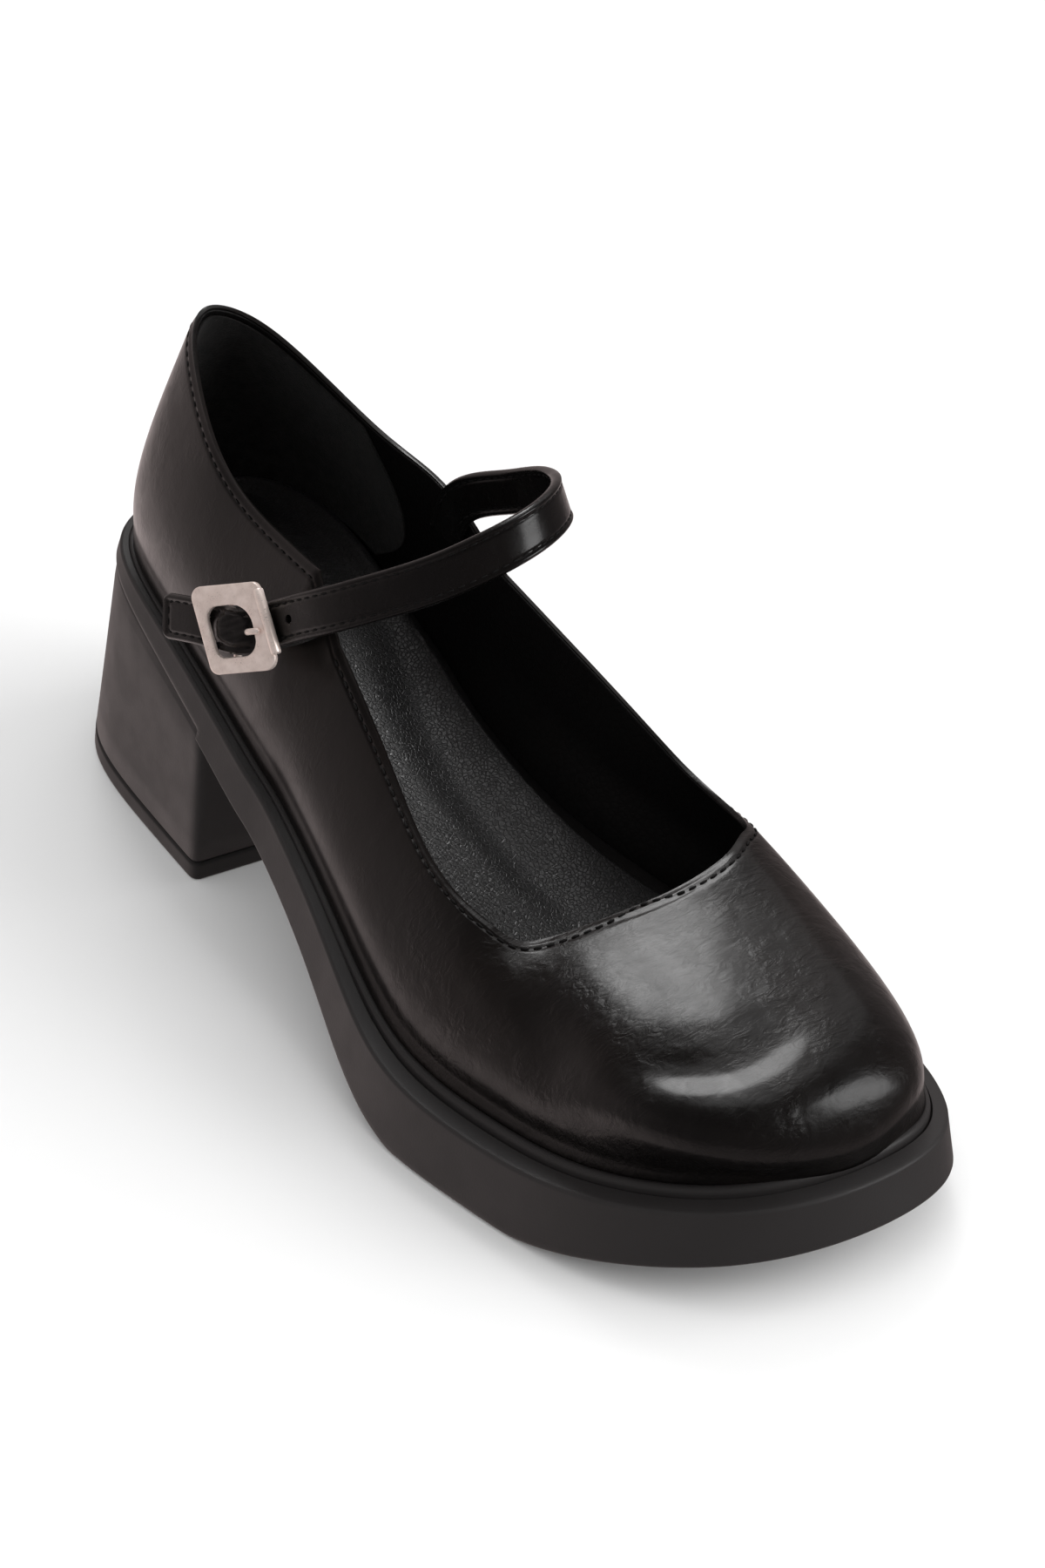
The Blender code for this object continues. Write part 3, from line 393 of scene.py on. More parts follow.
class Bench:
    """Makes meshes from grids and turns them into pieces that ride on the frame."""

    rim_segments = 3
    rim_angle = 60.0
    half_stitch = 0.38

    def __init__(self, last: Last) -> None:
        """Keep the last."""
        self.last = last

    def grid(self, columns: int, rows: int, place: Placer) -> bmesh.types.BMesh:
        """A grid whose points a function puts in place. Points that meet, at a seam or pole, are joined.

        Args:
            columns: faces along u.
            rows: faces along v.
            place: takes u and v from 0 to 1, and gives points on the last in millimetres.

        Returns:
            The new bmesh, in metres in the frame.
        """
        bm = bmesh.new()
        bm.loops.layers.uv.new("UVMap")
        bmesh.ops.create_grid(bm, x_segments=columns, y_segments=rows, size=0.5, calc_uvs=True)
        flat = np.array([vert.co[:2] for vert in bm.verts]) + 0.5
        for vert, point in zip(bm.verts, self.last.world(place(flat[:, 0], flat[:, 1]))):
            vert.co = point
        bmesh.ops.remove_doubles(bm, verts=bm.verts, dist=WELD)
        return bm

    def piece(
        self, bm: bmesh.types.BMesh, name: str, slot: Slot, finish: bpy.types.Material, sharp: float = 50.0
    ) -> bpy.types.Object:
        """Turn a bmesh into a smooth piece that rides on the frame.

        Args:
            bm: the shape, which is freed.
            name: the piece's name.
            slot: the record's material slot; not used.
            finish: its material.
            sharp: angle in degrees past which an edge stays sharp.

        Returns:
            The new object.
        """
        mesh = bpy.data.meshes.new(name)
        bm.to_mesh(mesh)
        bm.free()
        mesh.shade_smooth()
        mesh.set_sharp_from_angle(angle=math.radians(sharp))
        mesh.materials.append(finish)
        made = bpy.data.objects.new(name, mesh)
        bpy.context.scene.collection.objects.link(made)
        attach(made, ROOT)
        LOG.info("%s: %d faces", name, len(mesh.polygons))
        return made

    def solid(self, columns: int, rows: int, place: Placer) -> bmesh.types.BMesh:
        """A grid that closes on itself, with its faces turned outwards."""
        bm = self.grid(columns, rows, place)
        bmesh.ops.recalc_face_normals(bm, faces=bm.faces)
        return bm

    def wall(self, piece: bpy.types.Object, thickness: float, rounding: float) -> None:
        """Give an open sheet a wall inwards, and round its rims.

        Args:
            piece: the sheet.
            thickness: of the wall, in millimetres.
            rounding: radius of the rims, in millimetres.
        """
        shell = piece.modifiers.new("wall", "SOLIDIFY")
        shell.thickness = thickness * MM
        shell.offset = -1.0
        soft = piece.modifiers.new("rim", "BEVEL")
        soft.width = rounding * MM
        soft.segments = self.rim_segments
        soft.limit_method = "ANGLE"
        soft.angle_limit = math.radians(self.rim_angle)

    def stitches(
        self, name: str, line: Array, facing: Array, pitch: float, thread: float, finish: bpy.types.Material
    ) -> bpy.types.Object:
        """A row of stitches, each a small rounded bar that dips into the surface at its ends.

        Args:
            name: the piece's name.
            line: points along the row, on the last.
            facing: the surface's direction at each of them.
            pitch: length of one stitch with its gap.
            thread: radius of the thread.
            finish: the thread's material.

        Returns:
            All the stitches as one piece.
        """
        places = polyline_places(line)
        count = max(1, int(round(places[-1] / pitch)))
        bm = bmesh.new()
        for number in range(count):
            middle = (number + 0.5) * places[-1] / count
            half = pitch * self.half_stitch
            start, end = self.along(line, places, middle - half), self.along(line, places, middle + half)
            out = unit(self.along(facing, places, middle))
            along = unit(end - start)
            side = unit(np.cross(out, along))
            turn = Matrix((along, side, unit(np.cross(along, side)))).transposed().to_4x4()
            length = float(np.linalg.norm(end - start)) / 2
            size = Matrix.Diagonal((length * MM, thread * MM, thread * MM, 1.0))
            place = Matrix.Translation(Vector(self.last.world((start + end) / 2)))
            bmesh.ops.create_uvsphere(bm, u_segments=6, v_segments=5, radius=1.0, matrix=place @ turn @ size)
        return self.piece(bm, name, Slot.LEATHER, finish, sharp=180.0)

    @staticmethod
    def along(rows: Array, places: Array, where: float) -> Array:
        """The row at a place between the rows."""
        return np.array([np.interp(where, places, column) for column in rows.T])


# ---------------------------------------------------------------------------------------------
# Shader sums
# ---------------------------------------------------------------------------------------------


class Wire:
    """An output socket that can stand in sums."""

    def __init__(self, graph: Graph, socket: bpy.types.NodeSocket) -> None:
        """Keep the graph that the socket belongs to."""
        self.graph = graph
        self.socket = socket

    def _with(self, operation: str, first: Wire | float, second: Wire | float) -> Wire:
        """Add the Math node for one operation."""
        return self.graph.node("ShaderNodeMath", {"operation": operation}, {0: first, 1: second})

    def __add__(self, other: Wire | float) -> Wire:
        """Sum."""
        return self._with("ADD", self, other)

    def __sub__(self, other: Wire | float) -> Wire:
        """Difference."""
        return self._with("SUBTRACT", self, other)

    def __rsub__(self, other: Wire | float) -> Wire:
        """Difference from a number."""
        return self._with("SUBTRACT", other, self)

    def __mul__(self, other: Wire | float) -> Wire:
        """Product."""
        return self._with("MULTIPLY", self, other)

    __radd__ = __add__
    __rmul__ = __mul__


Input = Wire | float | tuple[float, ...]


class Graph:
    """A node tree in the making."""

    def __init__(self, tree: bpy.types.NodeTree) -> None:
        """Keep the tree."""
        self.tree = tree

    def node(
        self, kind: str, settings: dict[str, object] | None = None,
        inputs: dict[str | int, Input] | None = None, output: str | int = 0,
    ) -> Wire:
        """Add a node.

        Args:
            kind: the node's type.
            settings: properties, set before the inputs.
            inputs: values or wires for its sockets, by name or number.
            output: the socket to read.

        Returns:
            That output.
        """
        made = self.tree.nodes.new(kind)
        for name, value in (settings or {}).items():
            setattr(made, name, value)
        for name, value in (inputs or {}).items():
            self.feed(made.inputs[name], value)
        return Wire(self, made.outputs[output])

    def feed(self, socket: bpy.types.NodeSocket, value: Input) -> None:
        """Link a wire to a socket, or set its value."""
        if isinstance(value, Wire):
            self.tree.links.new(value.socket, socket)
        else:
            socket.default_value = value

    def between(self, value: Wire, low: float, high: float, start: float = 0.0, end: float = 1.0) -> Wire:
        """Rise smoothly from start to end as the value goes from low to high."""
        inputs = {"Value": value, "From Min": low, "From Max": high, "To Min": start, "To Max": end}
        return self.node("ShaderNodeMapRange", {"interpolation_type": "SMOOTHSTEP"}, inputs)


class Recipe(Graph):
    """A material in the making."""

    def __init__(self, name: str) -> None:
        """Start a material with an empty Principled shader."""
        self.material = bpy.data.materials.new(name)
        self.material.use_nodes = True
        super().__init__(self.material.node_tree)
        self.shader = self.tree.nodes["Principled BSDF"]

    def place(self) -> Wire:
        """Object coordinates, in metres in the frame."""
        return self.node("ShaderNodeTexCoord", output="Object")

    def stretched(
        self, place: Wire, turn: tuple[float, float, float], scale: tuple[float, float, float]
    ) -> Wire:
        """Coordinates turned and stretched, for grain that runs one way."""
        inputs: dict[str | int, Input] = {"Vector": place, "Rotation": turn, "Scale": scale}
        return self.node("ShaderNodeMapping", {}, inputs, "Vector")

    def noise(
        self, place: Wire, size: float, detail: float = 2.0, rough: float = 0.5, warp: float = 0.0
    ) -> Wire:
        """Noise about 0.5, with features of a size in millimetres."""
        inputs = {"Vector": place, "Scale": 1 / (size * MM), "Detail": detail, "Roughness": rough}
        return self.node("ShaderNodeTexNoise", {}, inputs | {"Distortion": warp}, "Fac")

    def cells(self, place: Wire, size: float, feature: str = "F1", loose: float = 1.0) -> Wire:
        """Distance in cells of a size in millimetres."""
        inputs = {"Vector": place, "Scale": 1 / (size * MM), "Randomness": loose}
        return self.node("ShaderNodeTexVoronoi", {"feature": feature}, inputs, "Distance")

    def tint(self, share: Wire, first: tuple[float, ...], second: tuple[float, ...]) -> Wire:
        """Mix two colours."""
        return self.node("ShaderNodeMix", {"data_type": "RGBA"}, {0: share, 6: first, 7: second}, 2)

    def bump(self, height: Wire, depth: float, under: Wire | None = None) -> Wire:
        """A bump of a depth in millimetres, over another if one is given."""
        inputs: dict[str | int, Input] = {"Height": height, "Distance": depth * MM, "Strength": 1.0}
        if under is not None:
            inputs["Normal"] = under
        return self.node("ShaderNodeBump", {}, inputs, "Normal")

    def done(self, **sockets: Input) -> bpy.types.Material:
        """Feed the shader's sockets, named with underscores for spaces, and return the material."""
        for name, value in sockets.items():
            self.feed(self.shader.inputs[name.replace("_", " ")], value)
        return self.material


# ---------------------------------------------------------------------------------------------
# Finishes
# ---------------------------------------------------------------------------------------------


def scaled(colour: tuple[float, ...], share: float) -> tuple[float, ...]:
    """The colour lighter or darker by a share."""
    return tuple(value * share for value in colour[:3]) + (1.0,)


@dataclass(frozen=True)
class CrinkleLeather:
    """Glossy black leather whose coat has a fine crinkle, calmer behind the toe."""

    name: str = "crinkle_leather"
    dark: tuple[float, ...] = (0.0026, 0.0022, 0.0021, 1.0)
    brown: tuple[float, ...] = (0.0046, 0.0034, 0.0030, 1.0)
    roughness: float = 0.34
    coat: float = 0.45
    crinkle: float = 0.32
    grain: float = 0.02
    calm: float = 0.3
    coat_roughness: float = 0.18
    specular: float = 0.3
    worked_y: tuple[float, float] = (-45.0, 0.0)
    wave_size: float = 30.0
    wave_depth: float = 0.25
    patch_size: float = 14.0
    soft_size: float = 5.5
    fold_size: float = 2.6
    ripple_size: float = 1.1
    pore_size: float = 0.45

    def material(self) -> bpy.types.Material:
        """Make the material."""
        make = Recipe(self.name)
        place = make.place()
        forward = make.node("ShaderNodeSeparateXYZ", {}, {"Vector": place}, "Y")
        front, back = self.worked_y
        worked = make.between(forward, front * MM, back * MM, 1.0, self.calm)
        waves = make.noise(place, self.wave_size, 1.0, 0.4)
        patches = make.between(make.noise(place, self.patch_size, 2.0, 0.6), 0.40, 0.62, 0.25, 1.0)
        down = make.stretched(place, (0.2, 0.1, 0.5), (0.45, 1.0, 0.8))
        across = make.stretched(place, (-0.3, 0.4, -0.4), (0.5, 1.0, 0.8))
        folds = make.noise(down, self.fold_size, 3.0, 0.55, 1.4)
        ripples = make.noise(across, self.ripple_size, 2.0, 0.5, 1.0)
        soft = make.noise(place, self.soft_size, 2.0, 0.5, 0.6)
        pores = make.noise(place, self.pore_size, 2.0, 0.6)
        normal = make.bump(waves, self.wave_depth)
        normal = make.bump(soft * worked, self.crinkle * 0.8, normal)
        normal = make.bump(folds * patches * worked, self.crinkle * 1.1, normal)
        normal = make.bump(ripples * patches * worked, self.crinkle * 0.35, normal)
        normal = make.bump(pores, self.grain, normal)
        colour = make.tint(make.between(waves, 0.35, 0.7), self.dark, self.brown)
        rough = make.between(soft, 0.3, 0.75, self.roughness - 0.04, self.roughness + 0.06)
        return make.done(
            Base_Color=colour, Roughness=rough, Normal=normal, Specular_IOR_Level=self.specular,
            Coat_Weight=self.coat, Coat_Roughness=self.coat_roughness,
        )


@dataclass(frozen=True)
class MouldedRubber:
    """Matte black rubber, with the faint mottle of a mould."""

    name: str
    colour: tuple[float, ...]
    roughness: float
    mottle: float = 0.02
    cloud_size: float = 9.0
    speck_size: float = 0.45
    depth: float = 0.03
    uneven: float = 0.03

    def material(self) -> bpy.types.Material:
        """Make the material."""
        make = Recipe(self.name)
        place = make.place()
        cloud = make.noise(place, self.cloud_size, 4.0, 0.6)
        speck = make.noise(place, self.speck_size, 2.0, 0.6)
        dull = scaled(self.colour, 1 - 2 * self.mottle)
        colour = make.tint(make.between(cloud, 0.3, 0.7), dull, self.colour)
        rough = make.between(cloud, 0.3, 0.7, self.roughness - self.uneven, self.roughness + self.uneven)
        normal = make.bump(speck, self.depth, make.bump(cloud, self.depth))
        return make.done(Base_Color=colour, Roughness=rough, Normal=normal)


@dataclass(frozen=True)
class PebbleLeather:
    """Soft black leather with a pebbled grain."""

    name: str
    colour: tuple[float, ...]
    roughness: float
    pebble: float = 0.9
    depth: float = 0.12
    shine: float = 0.5
    slack_size: float = 11.0
    slack_depth: float = 0.12
    seam: float = 0.16
    worn: float = 1.3

    def material(self) -> bpy.types.Material:
        """Make the material."""
        make = Recipe(self.name)
        place = make.place()
        pebbles = make.cells(place, self.pebble, "SMOOTH_F1")
        seams = make.between(make.cells(place, self.pebble, "DISTANCE_TO_EDGE"), 0.0, self.seam)
        slack = make.noise(place, self.slack_size, 2.0)
        normal = make.bump(slack, self.slack_depth)
        normal = make.bump(seams - pebbles * 0.5, self.depth, normal)
        colour = make.tint(seams, self.colour, scaled(self.colour, self.worn))
        rough = make.between(slack, 0.3, 0.7, self.roughness - 0.02, self.roughness + 0.03)
        return make.done(Base_Color=colour, Roughness=rough, Normal=normal, Specular_IOR_Level=self.shine)


@dataclass(frozen=True)
class NappedCloth:
    """Black cloth with a short nap, as on a heel grip."""

    name: str = "napped_grip"
    colour: tuple[float, ...] = (0.003, 0.0028, 0.0028, 1.0)
    light: tuple[float, ...] = (0.011, 0.0098, 0.0094, 1.0)
    nap_size: float = 0.5
    tuft_size: float = 2.6
    depth: float = 0.25

    def material(self) -> bpy.types.Material:
        """Make the material."""
        make = Recipe(self.name)
        place = make.place()
        nap = make.noise(place, self.nap_size, 4.0, 0.75)
        tufts = make.noise(place, self.tuft_size, 4.0, 0.7)
        colour = make.tint(make.between(nap * tufts, 0.12, 0.42), self.colour, self.light)
        normal = make.bump(nap + tufts * 0.6, self.depth)
        return make.done(
            Base_Color=colour, Roughness=0.92, Normal=normal, Sheen_Weight=0.04, Specular_IOR_Level=0.2
        )


@dataclass(frozen=True)
class Thread:
    """Black waxed thread."""

    name: str = "waxed_thread"
    colour: tuple[float, ...] = (0.003, 0.0028, 0.0028, 1.0)
    fuzz_size: float = 0.25
    fuzz_depth: float = 0.04
    fuzz_light: float = 2.4

    def material(self) -> bpy.types.Material:
        """Make the material."""
        make = Recipe(self.name)
        fuzz = make.noise(make.place(), self.fuzz_size, 3.0, 0.7)
        colour = make.tint(fuzz, self.colour, scaled(self.colour, self.fuzz_light))
        normal = make.bump(fuzz, self.fuzz_depth)
        return make.done(Base_Color=colour, Roughness=0.6, Normal=normal, Specular_IOR_Level=0.2)


@dataclass(frozen=True)
class ElasticWeb:
    """Black woven elastic."""

    name: str = "elastic_weave"
    colour: tuple[float, ...] = (0.010, 0.010, 0.010, 1.0)
    light: tuple[float, ...] = (0.035, 0.034, 0.034, 1.0)
    weave_size: float = 0.5
    depth: float = 0.08

    def material(self) -> bpy.types.Material:
        """Make the material."""
        make = Recipe(self.name)
        place = make.place()
        weave = make.cells(place, self.weave_size, "F1", 0.4)
        colour = make.tint(make.between(weave, 0.1, 0.6), self.light, self.colour)
        return make.done(Base_Color=colour, Roughness=0.8, Normal=make.bump(weave, self.depth))


@dataclass(frozen=True)
class SatinNickel:
    """Nickel with a fine satin brushing and faint handling marks."""

    name: str = "satin_nickel_plate"
    colour: tuple[float, ...] = (0.94, 0.81, 0.75, 1.0)
    dull: tuple[float, ...] = (0.82, 0.69, 0.63, 1.0)
    metallic: float = 0.62
    brush_size: float = 1.6
    brush_depth: float = 0.012
    stain_size: float = 2.4

    def material(self) -> bpy.types.Material:
        """Make the material."""
        make = Recipe(self.name)
        place = make.place()
        streaks = make.stretched(place, (0.4, 0.5, 0.2), (1.0, 8.0, 8.0))
        brushed = make.noise(streaks, self.brush_size, 3.0, 0.6)
        stain = make.noise(place, self.stain_size, 4.0, 0.6)
        colour = make.tint(make.between(stain, 0.35, 0.7), self.dull, self.colour)
        rough = make.between(brushed + stain * 0.5, 0.5, 1.0, 0.27, 0.42)
        normal = make.bump(brushed, self.brush_depth)
        return make.done(Base_Color=colour, Roughness=rough, Metallic=self.metallic, Normal=normal)


class Wardrobe:
    """All the shoe's materials, each made once."""

    def __init__(self) -> None:
        """Make the materials."""
        self.leather = CrinkleLeather().material()
        self.strap = CrinkleLeather(
            "strap_leather", (0.0020, 0.0018, 0.0018, 1.0), (0.0028, 0.0023, 0.0022, 1.0), roughness=0.26,
            crinkle=0.12, calm=1.0,
        ).material()
        self.sole = MouldedRubber("moulded_sole", (0.0175, 0.0158, 0.0158, 1.0), roughness=0.5).material()
        self.lift = MouldedRubber("wearing_layer", (0.013, 0.012, 0.012, 1.0), roughness=0.6).material()
        self.insole = PebbleLeather(
            "pebbled_footbed", (0.0075, 0.0071, 0.0072, 1.0), roughness=0.38,
            pebble=0.95, depth=0.07, shine=1.0,
        ).material()
        self.lining = PebbleLeather(
            "smooth_lining", (0.0022, 0.0020, 0.0020, 1.0), roughness=0.45,
            pebble=1.4, depth=0.04, shine=0.3,
        ).material()
        self.grip = NappedCloth().material()
        self.thread = Thread().material()
        self.elastic = ElasticWeb().material()
        self.metal = SatinNickel().material()


# ---------------------------------------------------------------------------------------------
# Sub-assemblies
# ---------------------------------------------------------------------------------------------


@dataclass(frozen=True)
class Crease:
    """A soft ridge or, with a negative height, a trough along a curve through points on the last."""

    path: tuple[tuple[float, float, float], ...]
    width: float
    height: float
    fade: float = 0.3
    links: int = 40

    def lift(self, points: Array) -> Array:
        """How far it raises each of the points, less and less towards both ends."""
        knots = np.array(self.path)
        places = polyline_places(knots)
        share = np.linspace(0, 1, self.links + 1)
        line = SmoothCurve(places, knots)(share * places[-1])
        nearest = np.full(len(points), np.inf)
        where = np.zeros(len(points))
        for number, (start, end) in enumerate(zip(line[:-1], line[1:])):
            way = end - start
            part = np.clip((points - start) @ way / (way @ way), 0, 1)
            away = np.linalg.norm(points - start - part[:, None] * way, axis=1)
            closer = away < nearest
            nearest[closer] = away[closer]
            where[closer] = (number + part[closer]) / self.links
        ends = ease(where, 0.0, self.fade) * ease(1 - where, 0.0, self.fade)
        return self.height * hump(nearest, self.width) * ends


@dataclass
class Upper:
    """Leather shell with its folded topline, lining, heel grip and stitching."""

    bench: Bench
    wardrobe: Wardrobe
    columns: int = 520
    rows: int = 84
    leather: float = 1.0
    rim_round: float = 0.36
    lining_columns: int = 312
    lining_rows: int = 44
    lining: float = 0.75
    lining_round: float = 0.3
    lining_gap: float = 0.06
    lining_heights: tuple[float, float] = (0.004, 0.992)
    inner_padding: float = 3.4
    grip_columns: int = 150
    grip_rows: int = 40
    grip: float = 0.5
    grip_round: float = 0.2
    grip_gap: float = 0.1
    grip_heights: tuple[float, float] = (0.03, 0.97)
    grip_turns: tuple[float, float] = (23.2, 28.8)
    grip_bow: float = 0.75
    buried: float = -0.19
    buried_share: float = 0.03
    crowding: float = 1.55
    fold_width: float = 2.4
    roll: float = 0.45
    flare: float = 0.14
    flare_height: float = 4.5
    fold_groove: float = 0.30
    groove_width: float = 0.42
    stitch_pitch: float = 2.7
    stitch_sink: float = 0.06
    thread: float = 0.28
    fine_thread: float = 0.18
    creases: tuple[Crease, ...] = (
        Crease(
            (
                (-44.0, -80.0, 36.0), (-35.0, -92.0, 37.0), (-16.0, -114.0, 35.0), (8.0, -119.0, 31.0),
                (30.0, -117.0, 42.0),
            ),
            width=6.8, height=3.1,
        ),
        Crease(((-35.0, -85.0, 45.0), (-10.0, -103.0, 46.0), (14.0, -95.0, 41.0)), width=6.0, height=-1.5),
        Crease(
            (
                (-25.0, -40.0, 51.0), (-29.0, -52.0, 47.5), (-33.0, -62.0, 44.0), (-37.0, -73.0, 40.0),
                (-41.0, -84.0, 34.0),
            ),
            width=9.0, height=-2.1, fade=0.25,
        ),
    )

    def worn(self, turn: Array, height: Array, offset: Array | float) -> Array:
        """Points off the last's skin, raised and sunk by the creases."""
        last = self.bench.last
        skin = last.skin(turn, height)
        lift = sum(crease.lift(skin) for crease in self.creases) + offset
        return skin + last.skin_facing(turn, height) * lift[:, None]

    def leather_points(self, turn: Array, height: Array) -> Array:
        """The outer face, rolled in along the topline past the stitches' groove and flared at the foot."""
        last = self.bench.last
        rim = np.linalg.norm(last.skin(turn, height) - last.topline(turn), axis=1)
        offset = -self.roll * (1 - ease(rim, 0.0, self.fold_width))
        offset -= self.fold_groove * hump(rim - self.fold_width, self.groove_width)
        above = last.skin(turn, height)[:, 2] - last.skin(turn, np.zeros_like(height))[:, 2]
        offset += self.flare * last.form(turn)[:, 0] * (1 - ease(above, 0.0, self.flare_height))
        return self.worn(turn, height, offset)

    def heights(self, share: Array) -> Array:
        """Heights on the skin, closer together towards the topline and carried on under the foot."""
        under = (share / self.buried_share - 1) * -self.buried
        up = (share - self.buried_share) / (1 - self.buried_share)
        return np.where(up < 0, under, 1 - (1 - up) ** self.crowding)

    def build(self) -> None:
        """Make every piece."""
        count = self.bench.last.count
        shell = self.bench.grid(
            self.columns, self.rows, lambda u, v: self.leather_points(u * count, self.heights(v))
        )
        leather = self.bench.piece(shell, "upper_leather", Slot.LEATHER, self.wardrobe.leather)
        self.bench.wall(leather, self.leather, self.rim_round)
        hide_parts("upper")
        self.build_lining()
        self.build_grip()
        self.build_stitches()

    def build_lining(self) -> None:
        """The lining, which stands just under the leather's rim."""
        last = self.bench.last

        def place(u: Array, v: Array) -> Array:
            """Points on the lining's outer face."""
            turn = u * last.count
            low, high = self.lining_heights
            padding = self.inner_padding * last.arch(turn) * (1 - ease(v, 0.0, 0.5))
            return self.worn(turn, low + v * (high - low), -self.leather - self.lining_gap - padding)

        sheet = self.bench.grid(self.lining_columns, self.lining_rows, place)
        lining = self.bench.piece(sheet, "upper_lining", Slot.LINING, self.wardrobe.lining)
        self.bench.wall(lining, self.lining, self.lining_round)

    def build_grip(self) -> None:
        """The napped grip inside the heel, with its front edges bowed forward."""
        last = self.bench.last

        def place(u: Array, v: Array) -> Array:
            """Points on the grip's face against the lining."""
            low, high = self.grip_heights
            bow = self.grip_bow * np.sin(np.clip(v * 0.9 + 0.1, 0, 1) * math.pi)
            start, end = self.grip_turns[0] - bow, self.grip_turns[1] + bow
            inward = -self.leather - self.lining - self.grip_gap
            return last.beside(start + (end - start) * u, low + v * (high - low), inward)

        sheet = self.bench.grid(self.grip_columns, self.grip_rows, place)
        grip = self.bench.piece(sheet, "heel_grip", Slot.LINING, self.wardrobe.grip)
        self.bench.wall(grip, self.grip, self.grip_round)

    def build_stitches(self) -> None:
        """The rows of stitches along the throat and the collar, in the groove under the rolled edge."""
        last = self.bench.last
        index = last.index
        samples = 700
        rounds = 12
        skin_length = 95.0
        collar_end = last.count + index["strap_back_lat"]
        rows = (
            ("throat_stitches", index["strap_front_lat"], index["strap_front_med"], self.thread),
            ("collar_stitches", index["strap_back_med"], collar_end, self.fine_thread),
        )
        for name, start, end, thread in rows:
            turns = np.linspace(start, end, samples)
            tops = last.topline(turns)
            heights = np.ones_like(turns)
            for _ in range(rounds):
                rim = np.linalg.norm(last.skin(turns, heights) - tops, axis=1)
                heights -= (self.fold_width - rim) / skin_length
            line = self.worn(turns, heights, -self.stitch_sink)
            facing = last.skin_facing(turns, heights)
            self.bench.stitches(name, line, facing, self.stitch_pitch, thread, self.wardrobe.thread)


class Zone(Enum):
    """The parts of the sole's section, from the middle of the tread out, up and in."""

    TREAD = "tread"
    TREAD_EDGE = "tread_edge"
    LOW_WALL = "low_wall"
    PANEL = "panel"
    HIGH_WALL = "high_wall"
    LEDGE_EDGE = "ledge_edge"
    FACE = "face"
    BEAD = "bead"
    SEAT = "seat"


@dataclass(frozen=True)
class SoleRow:
    """One row of the sole's section."""

    zone: Zone
    across: float
    height: float = 0.0


class Base(Enum):
    """What a height on the heel counts from."""

    FLOOR = "floor"
    TREAD = "tread"
    PANEL = "panel"


@dataclass(frozen=True)
class HeelRing:
    """One outline up the heel, with its share of the flare and how far it is drawn in."""

    flare: float
    base: Base
    height: float
    inward: float


